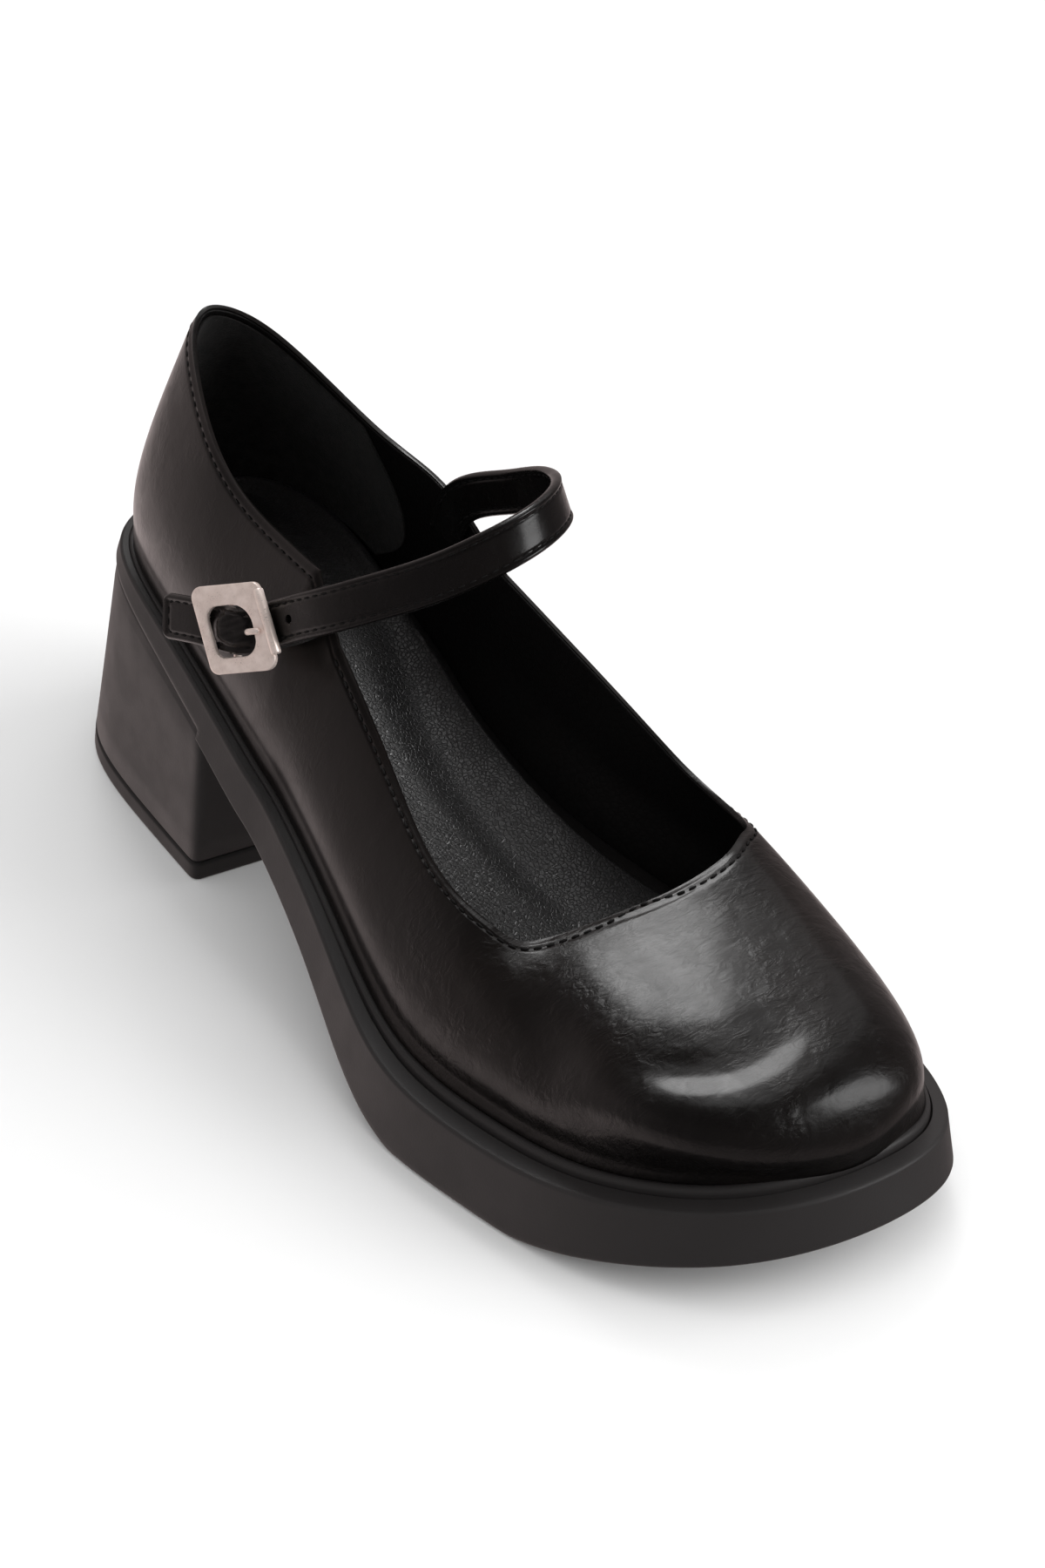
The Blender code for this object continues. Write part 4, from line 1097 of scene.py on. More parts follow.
@dataclass
class Sole:
    """Platform sole with its block heel and wearing layer."""

    bench: Bench
    wardrobe: Wardrobe
    columns: int = 520
    heel_columns: int = 260
    ring_rows: int = 6
    outline_points: int = 130
    corner_points: int = 8
    front_points: int = 30
    edge_round: float = 0.9
    tread_round: float = 1.2
    seat: float = -1.5
    seat_share: float = 0.79
    bead_middle: float = 0.65
    bead_width: float = 0.125
    bead_base: float = 0.25
    bead_height: float = 1.45
    bead_end: float = 0.12
    bead_rise_y: tuple[float, float] = (-45.0, -5.0)
    bead_sunk: float = 0.8
    breast_y: float = 55.8
    breast_clear: float = 0.6
    breast_skew: float = math.radians(5.1)
    heel_step: float = 0.8
    flare_outer: float = 2.6
    flare_back: float = 6.8
    flare_inner: float = 3.0
    heel_back_y: float = 118.0
    lift: float = 4.5
    gap: float = 0.3
    corner: float = 1.6
    front_reach: float = 12.0
    panel_front: float = 7.6
    panel_back: float = 5.2
    panel_y: tuple[float, float] = (55.0, 120.0)
    panel_low: float = 0.1
    panel_top: float = 0.9
    panel_step: float = 1.7

    def build(self) -> None:
        """Make every piece."""
        rubber = self.wardrobe.sole
        platform = self.bench.piece(self.platform(), "sole_platform", Slot.SOLE, rubber, HARD_EDGE)
        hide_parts("sole_unit")
        foot = self.lift + self.gap
        block = self.heel_mesh(
            (
                HeelRing(0.90, Base.FLOOR, foot, 0.5), HeelRing(0.895, Base.FLOOR, foot + 0.5, 0.0),
                HeelRing(0.0, Base.TREAD, 0.0, 0.0), HeelRing(0.0, Base.PANEL, -0.9, 0.55),
                HeelRing(0.0, Base.PANEL, -0.35, 0.75), HeelRing(0.0, Base.PANEL, -0.15, 1.3),
            )
        )
        self.bench.piece(block, "heel_block", Slot.SOLE, rubber, HARD_EDGE)
        layer = self.heel_mesh(
            (
                HeelRing(0.95, Base.FLOOR, 0.0, 0.4), HeelRing(0.98, Base.FLOOR, 0.4, 0.0),
                HeelRing(0.93, Base.FLOOR, self.lift - 0.4, 0.0), HeelRing(0.91, Base.FLOOR, self.lift, 0.4),
            )
        )
        lift = self.bench.piece(layer, "heel_wearing_layer", Slot.LIFT, self.wardrobe.lift, HARD_EDGE)
        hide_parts("heel_top_lift")

    def profile(self) -> list[SoleRow]:
        """The sole's section, from the middle of the tread out, up and in to the middle of the seat.

        Returns:
            Its rows. What across counts depends on the zone: a share of the way to the middle line on the
            tread and the seat, millimetres out on the two edges, a share of the height on the walls, a
            share of the step on the panel, and a share of the upper's inset on the face and the bead.
        """
        quarter = np.linspace(0, math.pi / 2, 6)
        round_up = np.linspace(math.pi, self.bead_end * math.pi, 9)
        low, top = self.tread_round, self.edge_round
        tread_edge = [(low * (math.sin(a) - 1), low * (1 - math.cos(a))) for a in quarter]
        ledge_edge = [(top * (math.cos(a) - 1), top * (math.sin(a) - 1)) for a in quarter]
        groove = [(0.475, -0.45), (0.50, -0.95), (0.52, -0.5)]
        across = self.bead_middle + self.bead_width * np.cos(round_up)
        bead = list(zip(across, self.bead_base + self.bead_height * np.sin(round_up)))
        parts = (
            (Zone.TREAD, [(share, 0.0) for share in (1.0, 0.8, 0.6, 0.4, 0.2, 0.05)]),
            (Zone.TREAD_EDGE, tread_edge),
            (Zone.LOW_WALL, [(share, 0.0) for share in np.linspace(0.0, 1.0, 8)[1:]]),
            (Zone.PANEL, [(0.9, 0.25), (0.45, 0.45), (0.1, 0.8)]),
            (Zone.HIGH_WALL, [(share, 0.0) for share in np.linspace(0.0, 1.0, 9)[1:-1]]),
            (Zone.LEDGE_EDGE, ledge_edge),
            (Zone.FACE, [(share, 0.0) for share in (0.15, 0.30, 0.42, 0.455)]),
            (Zone.BEAD, groove + bead),
            (Zone.FACE, [(self.seat_share - 0.005, -0.5), (self.seat_share, self.seat)]),
            (Zone.SEAT, [(share, 0.0) for share in (0.1, 0.3, 0.55, 0.8, 1.0)]),
        )
        return [SoleRow(zone, across, height) for zone, places in parts for across, height in places]

    def platform(self) -> bmesh.types.BMesh:
        """The platform: tread, wall, ledge, groove, bead and seat."""
        rows = self.profile()

        def place(u: Array, v: Array) -> Array:
            """Points of the platform."""
            turn = u * self.bench.last.count
            number = np.rint(v * (len(rows) - 1)).astype(int)
            points = np.zeros((len(turn), 3))
            for index, row in enumerate(rows):
                here = number == index
                points[here] = self.row_points(row, turn[here])
            return points

        return self.bench.solid(self.columns, len(rows) - 1, place)

    def row_points(self, row: SoleRow, turn: Array) -> Array:
        """Points of one row of the section at turns round the sole."""
        last = self.bench.last
        edge, outward, spine = last.edge(turn), last.outward(turn), last.spine(turn)
        inset = last.form(turn)[:, :1]
        ledge, tread = last.ledge(edge[:, 1]), last.tread(edge[:, 1])
        behind = edge[:, 1] > self.breast_line(edge[:, 0]) + self.breast_clear
        step = np.where(behind, self.panel_step, 0.0)[:, None]
        if row.zone is Zone.TREAD:
            ring = edge + outward * (last.wall_flare - self.tread_round - step)
            flat = ring + (spine - ring) * row.across
            level = last.tread(flat[:, 1])
        elif row.zone is Zone.TREAD_EDGE:
            flat = edge + outward * (last.wall_flare + row.across - step)
            level = tread + row.height
        elif row.zone is Zone.LEDGE_EDGE:
            flat = edge + outward * row.across
            level = ledge + row.height
        elif row.zone is Zone.FACE:
            flat = edge - outward * inset * row.across
            level = ledge + row.height
        elif row.zone is Zone.BEAD:
            flat = edge - outward * inset * row.across
            level = ledge + row.height * (1 - self.bead_sunk * ease(edge[:, 1], *self.bead_rise_y))
        elif row.zone is Zone.SEAT:
            ring = edge - outward * inset * self.seat_share
            flat = ring + (spine - ring) * row.across
            level = last.ledge(flat[:, 1]) + self.seat
        else:
            low, high = tread + self.tread_round, ledge - self.edge_round
            level, back = self.wall_row(row, low, ledge - self.panel_depth(edge[:, 1]), high, step)
            share = ((level - low) / (high - low))[:, None]
            flat = edge + outward * (last.wall_flare * (1 - share) - back)
        return np.column_stack([flat, level])

    def wall_row(
        self, row: SoleRow, low: Array, line: Array, high: Array, step: Array
    ) -> tuple[Array, Array | float]:
        """Heights of a row of the wall, and how far it is set back.

        Args:
            row: one row of the low wall, the panel's edge or the high wall.
            low: heights of the wall's foot.
            line: heights of the panel's upper edge over the heel.
            high: heights of the wall's top.
            step: how far the heel's panel is set back, nothing in front of the heel.

        Returns:
            The heights and the distances back.
        """
        if row.zone is Zone.LOW_WALL:
            return low + (line - self.panel_low - low) * row.across, step
        if row.zone is Zone.PANEL:
            return line + row.height, step * row.across
        start = line + self.panel_top
        return start + (high - start) * row.across, 0.0

    def panel_depth(self, y: Array) -> Array:
        """How far the panel's edge lies under the ledge."""
        return self.panel_front + (self.panel_back - self.panel_front) * ease(y, *self.panel_y)

    def breast_line(self, x: Array | float) -> Array | float:
        """The y of the heel's front face at this x."""
        outer_x = SECTIONS[self.bench.last.index["breast_lat"]].edge_x
        return self.breast_y - math.tan(self.breast_skew) * (x - outer_x)

    def breast_turn(self, start: float, end: float) -> float:
        """Where the sole's edge crosses the heel's front face, between two turns."""
        for _ in range(40):
            middle = (start + end) / 2
            x, y = self.bench.last.edge(middle)
            if y > self.breast_line(x):
                start = middle
            else:
                end = middle
        return start

    def heel_outline(self, flare_share: float, inward: float) -> Callable[[Array], Array]:
        """Outline of the heel, with its two front corners rounded, as a function of the share of a turn."""
        last = self.bench.last
        outer = self.breast_turn(0.0, float(last.index["strap_back_lat"]))
        inner = self.breast_turn(float(last.count), float(last.index["strap_back_med"]))
        turns = np.linspace(inner, last.count + outer, self.outline_points)
        edge = last.edge(turns)
        side = np.where(edge[:, 0] < 0, self.flare_outer, self.flare_inner)
        forward = np.clip(1 - (edge[:, 1] - self.breast_y) / (self.heel_back_y - self.breast_y), 0, 1)
        full = side * forward + self.flare_back * (1 - forward)
        start = last.wall_flare - self.heel_step
        back = edge + last.outward(turns) * (start + (full - start) * flare_share)[:, None]
        back = back - last.outward(turns) * inward
        across = unit(back[0] - back[-1])
        back[:, 1] += inward * ease(-edge[:, 1], -self.breast_y - self.front_reach, -self.breast_y)
        from_corners = [np.linalg.norm(back - corner, axis=1) for corner in (back[0], back[-1])]
        keep = np.minimum(*from_corners) > self.corner
        arcs = []
        for tip, before, after in (
            (back[-1], back[keep][-1], back[-1] + across * self.corner),
            (back[0], back[0] - across * self.corner, back[keep][0]),
        ):
            share = np.linspace(0, 1, self.corner_points)[:, None]
            arcs.append((1 - share) ** 2 * before + 2 * share * (1 - share) * tip + share**2 * after)
        share = np.linspace(0, 1, self.front_points)[1:-1, None]
        front = arcs[0][-1] + (arcs[1][0] - arcs[0][-1]) * share
        outline = np.vstack([back[keep], arcs[0][1:], front, arcs[1][:-1]])
        outline = np.vstack([outline, outline[:1]])
        places = polyline_places(outline)

        def around(share: Array) -> Array:
            """Points of the outline."""
            return np.column_stack([np.interp(share * places[-1], places, column) for column in outline.T])

        return around

    def ring_points(self, ring: HeelRing, flat: Array) -> Array:
        """Points of an outline at its ring's height."""
        level = np.full(len(flat), ring.height)
        if ring.base is Base.TREAD:
            level += self.bench.last.tread(flat[:, 1])
        elif ring.base is Base.PANEL:
            level += self.bench.last.ledge(flat[:, 1]) - self.panel_depth(flat[:, 1])
        return np.column_stack([flat, level])

    def heel_mesh(self, rings: tuple[HeelRing, ...]) -> bmesh.types.BMesh:
        """A closed block through outlines of the heel, from the lowest ring up."""
        outlines = [self.heel_outline(ring.flare, ring.inward) for ring in rings]
        total = self.ring_rows * (len(rings) - 1) + 2

        def place(u: Array, v: Array) -> Array:
            """Points of the block, closed to a middle point below and above."""
            row = np.rint(v * total).astype(int)
            points = np.zeros((len(u), 3))
            for index in range(total + 1):
                here = row == index
                where = np.clip((index - 1) / self.ring_rows, 0, len(rings) - 1 - 1e-9)
                low = int(where)
                below = self.ring_points(rings[low], outlines[low](u[here]))
                above = self.ring_points(rings[low + 1], outlines[low + 1](u[here]))
                ring = below + (above - below) * (where - low)
                if index in (0, total):
                    ring = np.repeat(ring.mean(axis=0)[None], len(ring), axis=0)
                points[here] = ring
            return points

        return self.bench.solid(self.heel_columns, total, place)


class Cover(Enum):
    """The parts of the insole's section, from its middle underneath to its middle on top."""

    UNDER = "under"
    RIM = "rim"
    TOP = "top"


@dataclass
class Footbed:
    """The insole: pebbled cover with a rolled rim and a soft trough along its middle."""

    bench: Bench
    wardrobe: Wardrobe
    clear: float = 0.3
    wall: float = 1.8
    columns: int = 416
    rows: int = 60
    crowding: float = 1.1
    rise: float = 2.2
    heel_rise: float = 1.6
    edge_round: float = 0.9
    under: float = -1.1
    dish: float = 0.4
    dish_share: float = 0.35
    heel_dish: float = 1.2
    heel_dish_y: tuple[float, float] = (55.0, 95.0)
    inner_padding: float = 3.0
    heel_rise_y: tuple[float, float] = (40.0, 100.0)
    rim_pad: float = 1.9
    rim_pad_y: tuple[float, float] = (45.0, 80.0)
    rim_width: float = 5.0
    trough: tuple[Crease, ...] = (
        Crease(
            (
                (16.5, 66.0, 52.0), (6.5, 36.0, 44.5), (2.5, 7.0, 36.0), (5.5, -15.0, 28.0),
                (10.5, -36.0, 20.0),
            ),
            width=7.0, height=-2.0,
        ),
        Crease(
            (
                (10.0, 66.0, 52.3), (0.0, 36.0, 44.8), (-4.0, 7.0, 36.5), (-1.0, -15.0, 28.5),
                (4.0, -36.0, 20.5),
            ),
            width=4.5, height=0.7,
        ),
    )

    def profile(self) -> list[tuple[Cover, float, float]]:
        """The insole's section.

        Returns:
            Rows of a part, a way in and a height. The way in counts millimetres on the rim, and elsewhere
            it is a share of the way to the middle line.
        """
        quarter = np.linspace(0, math.pi / 2, 6)
        soft = self.edge_round
        rows = [(Cover.UNDER, share, 0.0) for share in (1.0, 0.5, 0.0)]
        rows += [(Cover.RIM, soft * (1 - math.cos(a)), soft * (math.sin(a) - 1)) for a in quarter]
        shares = np.linspace(0, 1, self.rows)[1:] ** self.crowding
        return rows + [(Cover.TOP, share, 0.0) for share in shares]

    def build(self) -> None:
        """Make the insole."""
        last = self.bench.last
        rows = self.profile()

        def place(u: Array, v: Array) -> Array:
            """Points of the insole."""
            turn = u * last.count
            number = np.rint(v * (len(rows) - 1)).astype(int)
            edge, outward, spine = last.edge(turn), last.outward(turn), last.spine(turn)
            padding = self.inner_padding * last.arch(turn)
            inset = last.form(turn)[:, 0] + self.wall + 2 * self.clear + padding
            ring = edge - outward * inset[:, None]
            points = np.zeros((len(turn), 3))
            for index, (part, inward, height) in enumerate(rows):
                here = number == index
                rim, middle = ring[here], spine[here]
                if part is Cover.UNDER:
                    flat = rim + (middle - rim) * inward
                    points[here] = np.column_stack([flat, last.ledge(flat[:, 1]) + self.under])
                elif part is Cover.RIM:
                    flat = rim - outward[here] * inward
                    points[here] = np.column_stack([flat, self.level(flat[:, 1]) + height])
                else:
                    start = rim - outward[here] * self.edge_round
                    points[here] = self.top_points(rim, start + (middle - start) * inward, inward)
            return points

        bm = self.bench.solid(self.columns, len(rows) - 1, place)
        cover = self.bench.piece(bm, "insole_cover", Slot.LINING, self.wardrobe.insole)
        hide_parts("insole")

    def level(self, y: Array) -> Array:
        """Height of the insole's rim, which rises towards the heel."""
        return self.bench.last.ledge(y) + self.rise + self.heel_rise * ease(y, *self.heel_rise_y)

    def top_points(self, rim: Array, flat: Array, inward: float) -> Array:
        """Points of one row on top, dished towards the middle, padded along the rim and creased.

        Args:
            rim: the rim's points beside them, as x and y.
            flat: the row's points, as x and y.
            inward: the row's share of the way to the middle line.

        Returns:
            One row of x, y, z for each point.
        """
        y = flat[:, 1]
        dish = self.dish + self.heel_dish * ease(y, *self.heel_dish_y)
        level = self.level(y) - dish * ease(np.full(len(y), inward), 0.0, self.dish_share)
        from_rim = np.linalg.norm(flat - rim, axis=1)
        padded = self.rim_pad * ease(y, *self.rim_pad_y)
        level += padded * hump(from_rim - self.rim_width / 2, self.rim_width / 2)
        points = np.column_stack([flat, level])
        for fold in self.trough:
            points[:, 2] += fold.lift(points)
        return points


@dataclass
class BuckleFrame:
    """Where the buckle stands, with the sizes that its neighbours share.

    X points to the instep, Y up across the strap and Z out from the foot.
    """

    place: tuple[float, float, float] = (-40.5, 37.8, 79.5)
    facing: tuple[float, float, float] = (-0.85, -0.30, 0.42)
    to_instep: tuple[float, float, float] = (0.47, -0.79, 0.39)
    plate: float = 1.6
    bar_radius: float = 0.9
    bar_x: float = -3.5
    bar_depth: float = 6.6

    def __post_init__(self) -> None:
        """Square up the three directions."""
        out = unit(np.array(self.facing))
        up = unit(np.cross(out, np.array(self.to_instep)))
        self.axes = np.array([np.cross(up, out), up, out])

    def at(self, points: Array) -> Array:
        """Points given from the plate's middle as points on the last."""
        return np.array(self.place) + np.asarray(points, float) @ self.axes


@dataclass(frozen=True)
class Bend:
    """A place on the strap's middle line, and the direction of its width."""

    x: float
    y: float
    z: float
    width_x: float
    width_y: float
    width_z: float


@dataclass
class Ribbon:
    """A flat band along a route."""

    route: Array
    widths: Array
    width: float
    thickness: float
    tip: float = 0.0
    soft: float = 0.16
    arc: float = 0.07

    def __post_init__(self) -> None:
        """Fit curves through the route and the directions of its width."""
        places = polyline_places(self.route)
        self.length = float(places[-1])
        self.middle = SmoothCurve(places, self.route)
        self.side = SmoothCurve(places, self.widths)

    def axes(self, station: Array) -> tuple[Array, Array, Array]:
        """Directions along, across and out of the band at the stations."""
        along = unit(self.middle(station + NUDGE) - self.middle(station - NUDGE))
        across = self.side(station)
        across = unit(across - along * (across * along).sum(axis=1, keepdims=True))
        return along, across, np.cross(across, along)

    def half(self, station: Array) -> Array:
        """Half the width at the stations, drawn in round the tip's corners."""
        if not self.tip:
            return np.full(len(station), self.width / 2)
        into = np.clip(station - (self.length - self.tip), 0, self.tip)
        return self.width / 2 - self.tip + np.sqrt(np.maximum(self.tip**2 - into**2, 0))

    def on_face(self, station: Array, side: Array, out_by: Array | float) -> tuple[Array, Array]:
        """Points at stations and distances to the side, raised off the middle, and the way out there."""
        _, across, out = self.axes(station)
        return self.middle(station) + across * side[:, None] + out * np.reshape(out_by, (-1, 1)), out

    def section(self, around: Array) -> tuple[Array, Array]:
        """A flat section with round sides: shares of half the width and of half the thickness."""
        turn = around % 1.0
        from_side = np.minimum(turn % 0.5, 0.5 - turn % 0.5)
        bend = np.clip(from_side / self.arc, 0, 1) * math.pi / 2
        flat = np.clip((from_side - self.arc) / (0.25 - self.arc), 0, 1)
        side = (1 - self.soft) * (1 - flat) + self.soft * np.cos(bend)
        side = np.where((turn > 0.25) & (turn < 0.75), -side, side)
        return side, np.where(turn > 0.5, -np.sin(bend), np.sin(bend))


@dataclass
class Strap:
    """The strap over the instep, with its stitching and holes."""

    bench: Bench
    wardrobe: Wardrobe
    buckle: BuckleFrame
    rows: int = 420
    columns: int = 104
    width: float = 10.0
    thickness: float = 2.0
    clear: float = 0.5
    tip: tuple[float, float, float] = (-20.6, 4.3, -6.5)
    through: tuple[tuple[float, float], ...] = ((8.0, -0.2), (1.0, -1.0), (-5.5, 0.7))
    tip_round: float = 1.6
    tip_share: float = 0.03
    stitch_start: float = 6.0
    stitch_edge: float = 1.55
    stitch_pitch: float = 2.5
    stitch_sunk: float = 0.6
    thread: float = 0.27
    border: float = 0.20
    groove: float = 0.30
    groove_width: float = 0.36
    hole: float = 0.95
    hole_depth: float = 1.3
    hole_places: tuple[float, ...] = (2.9, 14.2)
    swell: float = 1.1
    wrinkle: float = 0.10
    swell_x: float = -0.6
    swell_length: float = 5.8
    swell_width: float = 5.2
    route: tuple[Bend, ...] = (
        Bend(20.6, 46.5, 77.5, -0.05, 0.62, 0.78),
        Bend(21.0, 43.8, 86.0, -0.05, 0.60, 0.80),
        Bend(24.6, 30.0, 96.0, -0.06, 0.55, 0.83),
        Bend(24.8, 16.5, 104.0, -0.08, 0.50, 0.86),
        Bend(21.0, 6.5, 108.5, -0.08, 0.47, 0.88),
        Bend(14.5, 0.0, 110.5, -0.06, 0.45, 0.89),
        Bend(6.0, -3.5, 110.5, -0.04, 0.45, 0.89),
        Bend(-3.5, -3.0, 108.0, -0.02, 0.50, 0.86),
        Bend(-13.0, 1.0, 103.5, 0.00, 0.57, 0.82),
        Bend(-22.0, 9.0, 97.5, 0.05, 0.60, 0.79),
        Bend(-30.0, 20.0, 90.0, 0.10, 0.62, 0.77),
    )

    def ribbon(self) -> Ribbon:
        """The strap's band, on past the buckle to its tip."""
        table = np.array([(b.x, b.y, b.z) for b in self.route])
        widths = np.array([(b.width_x, b.width_y, b.width_z) for b in self.route])
        behind = -(self.buckle.plate + self.clear + self.thickness / 2)
        through = self.buckle.at([(x, y, behind) for x, y in self.through])
        route = np.vstack([table, through, self.buckle.at([self.tip])])
        up = np.repeat(self.buckle.axes[1][None], len(through) + 1, axis=0)
        return Ribbon(route, np.vstack([widths, up]), self.width, self.thickness, self.tip_round)

    def build(self) -> None:
        """Make every piece."""
        band = self.ribbon()
        rows, tip = self.rows, self.tip_share

        def place(u: Array, v: Array) -> Array:
            """Points of the strap, closed to a middle line at both ends, with its rows closer at the tip."""
            station = np.clip((v * rows - 1) / (rows - 2), 0, 1)
            late = (station - (1 - tip)) / tip
            near_tip = 1 - tip + tip * np.sin(np.clip(late, 0, 1) * math.pi / 2)
            station = np.where(late > 0, near_tip, station) * band.length
            side, deep = band.section(u)
            side = side * band.half(station)
            relief = self.relief(self.width / 2 - np.abs(side), band.length - station) * np.abs(deep) ** 6
            points, out = band.on_face(station, side, deep * self.thickness / 2 + np.sign(deep) * relief)
            near = (deep > 0) & (station > band.length / 2)
            points[near] += out[near] * (self.swelling(points[near]) * deep[near])[:, None]
            ends = (v < 0.5 / rows) | (v > 1 - 0.5 / rows)
            points[ends] = band.middle(station[ends])
            return points

        bm = self.bench.solid(self.columns, rows, place)
        self.cut_holes(bm, band)
        strap = self.bench.piece(bm, "strap_leather", Slot.LEATHER, self.wardrobe.strap, HARD_EDGE)
        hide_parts("strap")
        self.build_stitches(band)

    def swelling(self, points: Array) -> Array:
        """How far the outer face swells into the buckle's window, with fine wrinkles across it."""
        x, y = ((points - np.array(self.buckle.place)) @ self.buckle.axes.T).T[:2]
        dome = ease(1 - np.hypot((x - self.swell_x) / self.swell_length, y / self.swell_width), 0.0, 0.45)
        wrinkles = np.cos((y + 0.25 * x) * 2.3) + 0.6 * np.cos((y - 0.2 * x) * 4.1 + 1.0)
        return dome * (self.swell + self.wrinkle * wrinkles)

    def relief(self, from_side: Array, from_tip: Array) -> Array:
        """Height of the folded border over the strap's middle, with the stitches' groove beside it."""
        away = np.minimum(from_side, from_tip)
        border = self.border * (1 - ease(away, self.stitch_edge - 0.2, self.stitch_edge + 0.3))
        return border - self.groove * hump(away - self.stitch_edge, self.groove_width)

    def station_near(self, band: Ribbon, x: float) -> float:
        """The station where the strap passes a place along the plate."""
        stations = np.linspace(band.length * 0.5, band.length, 2000)
        places = (band.middle(stations) - np.array(self.buckle.place)) @ self.buckle.axes[0]
        return float(stations[np.argmin(np.abs(places - x))])

    def cut_holes(self, bm: bmesh.types.BMesh, band: Ribbon) -> None:
        """Push round holes into the outer face."""
        for x in self.hole_places:
            station = np.array([self.station_near(band, x)])
            centre, out = band.on_face(station, np.zeros(1), self.thickness / 2)
            middle, facing = Vector(self.bench.last.world(centre)[0]), Vector(out[0])
            radius = self.hole * MM
            near_rim = (0.75 * radius, 1.25 * radius)
            faces = [
                face for face in bm.faces
                if face.normal.dot(facing) > 0.7 and (face.calc_center_median() - middle).length < radius
            ]
            pushed = bmesh.ops.extrude_face_region(bm, geom=faces)["geom"]
            floor = [item for item in pushed if isinstance(item, bmesh.types.BMVert)]
            bmesh.ops.delete(bm, geom=faces, context="FACES")
            bmesh.ops.translate(bm, verts=floor, vec=-facing * self.hole_depth * MM)
            rim = {vert for vert in bm.verts if (vert.co - middle).length < radius * 1.7}
            for vert in rim | set(floor):
                away = vert.co - middle
                level = away.dot(facing)
                flat = away - facing * level
                if near_rim[0] < flat.length < near_rim[1] and (vert in floor or level > -0.4 * MM):
                    vert.co = middle + facing * level + flat.normalized() * radius

    def build_stitches(self, band: Ribbon) -> None:
        """A row of stitches on each face, out along one side, round the tip and back."""
        near = self.width / 2 - self.stitch_edge
        end = band.length - self.stitch_edge
        out_by = self.thickness / 2 - self.groove * self.stitch_sunk
        down = np.linspace(self.stitch_start, end, 300)
        across = np.linspace(near, -near, 12)[1:-1]
        side = np.concatenate([np.full_like(down, near), across, np.full_like(down, -near)])
        station = np.concatenate([down, np.full_like(across, end), down[::-1]])
        for name, face in (("strap_stitches_outer", 1.0), ("strap_stitches_inner", -1.0)):
            line, out = band.on_face(station, side, face * out_by)
            self.bench.stitches(name, line, out * face, self.stitch_pitch, self.thread, self.wardrobe.thread)


@dataclass
class Elastic:
    """The ribbed elastic that holds the buckle."""

    bench: Bench
    wardrobe: Wardrobe
    buckle: BuckleFrame
    rows: int = 120
    columns: int = 72
    width: float = 9.6
    thickness: float = 1.0
    wall: float = 1.8
    clear: float = 0.3
    lean: float = 0.09
    ribs: int = 5
    rib_height: float = 0.1

    def ribbon(self) -> Ribbon:
        """From inside the outer wall, over the topline and round the buckle's bar."""
        last = self.bench.last
        turn = np.array([(last.index["strap_back_lat"] + last.index["strap_front_lat"]) / 2])
        one = np.array([1.0])
        half = self.thickness / 2
        beside = self.wall + self.clear + 0.4 + half
        lift = self.clear + half + 0.4
        rim = last.skin(turn, one)[0]
        slope = unit(last.topline(turn + 0.1)[0] - last.topline(turn - 0.1)[0])
        upward = rim - last.skin(turn, one * 0.98)[0]
        upward = unit(upward - slope * (upward @ slope))
        route = [self.below(rim, upward, down, beside + self.lean * down) for down in (9.5, 7.0, 4.5, 2.0)]
        route.append(last.beside(turn, one, -self.wall - 0.3)[0] + upward * lift)
        route.append(last.beside(turn, one, 0.2)[0] + upward * (lift + 0.2))
        route.append(self.buckle.at([(9.5, 0.0, -self.buckle.bar_depth - 3.2)])[0])
        inside = len(route) - 1
        ring = self.buckle.bar_radius + self.clear + 0.1 + half
        angle = np.radians(np.arange(80, 291, 30))
        hook = np.zeros((len(angle), 3))
        hook[:, 0] = self.buckle.bar_x + ring * np.cos(angle)
        hook[:, 2] = -self.buckle.bar_depth + ring * np.sin(angle)
        route.extend(self.buckle.at(hook))
        up = self.buckle.axes[1]
        slope = slope if slope @ up > 0 else -slope
        widths = np.array([slope] * inside + [up] * (len(route) - inside))
        return Ribbon(np.array(route), widths, self.width, self.thickness)

    def below(self, rim: Array, upward: Array, distance: float, offset: float) -> Array:
        """The point inside the upper that lies a distance straight under a point of its rim."""
        last = self.bench.last
        turns, heights = np.meshgrid(
            np.linspace(last.index["breast_lat"], last.index["shank_lat"], 61), np.linspace(0.5, 1.0, 51)
        )
        turns, heights = turns.ravel(), heights.ravel()
        away = np.linalg.norm(last.skin(turns, heights) - (rim - upward * distance), axis=1)
        best = [int(np.argmin(away))]
        return last.beside(turns[best], heights[best], -offset)[0]

    def build(self) -> None:
        """Make the elastic."""
        band = self.ribbon()
        rows = self.rows

        def place(u: Array, v: Array) -> Array:
            """Points of the elastic, closed to a middle line at both ends."""
            station = np.clip((v * rows - 1) / (rows - 2), 0, 1) * band.length
            side, deep = band.section(u)
            wave = self.rib_height * np.cos(side * self.ribs * 2 * math.pi)
            ribs = wave * np.sign(deep) * np.abs(deep) ** 4
            points, _ = band.on_face(station, side * self.width / 2, deep * self.thickness / 2 + ribs)
            ends = (v < 0.5 / rows) | (v > 1 - 0.5 / rows)
            points[ends] = band.middle(station[ends])
            return points

        bm = self.bench.solid(self.columns, rows, place)
        web = self.bench.piece(bm, "buckle_elastic", Slot.ELASTIC, self.wardrobe.elastic, HARD_EDGE)
        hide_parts("buckle_anchor")


@dataclass(frozen=True)
class Corner:
    """One corner of a flat outline, with its radius."""

    x: float
    y: float
    radius: float


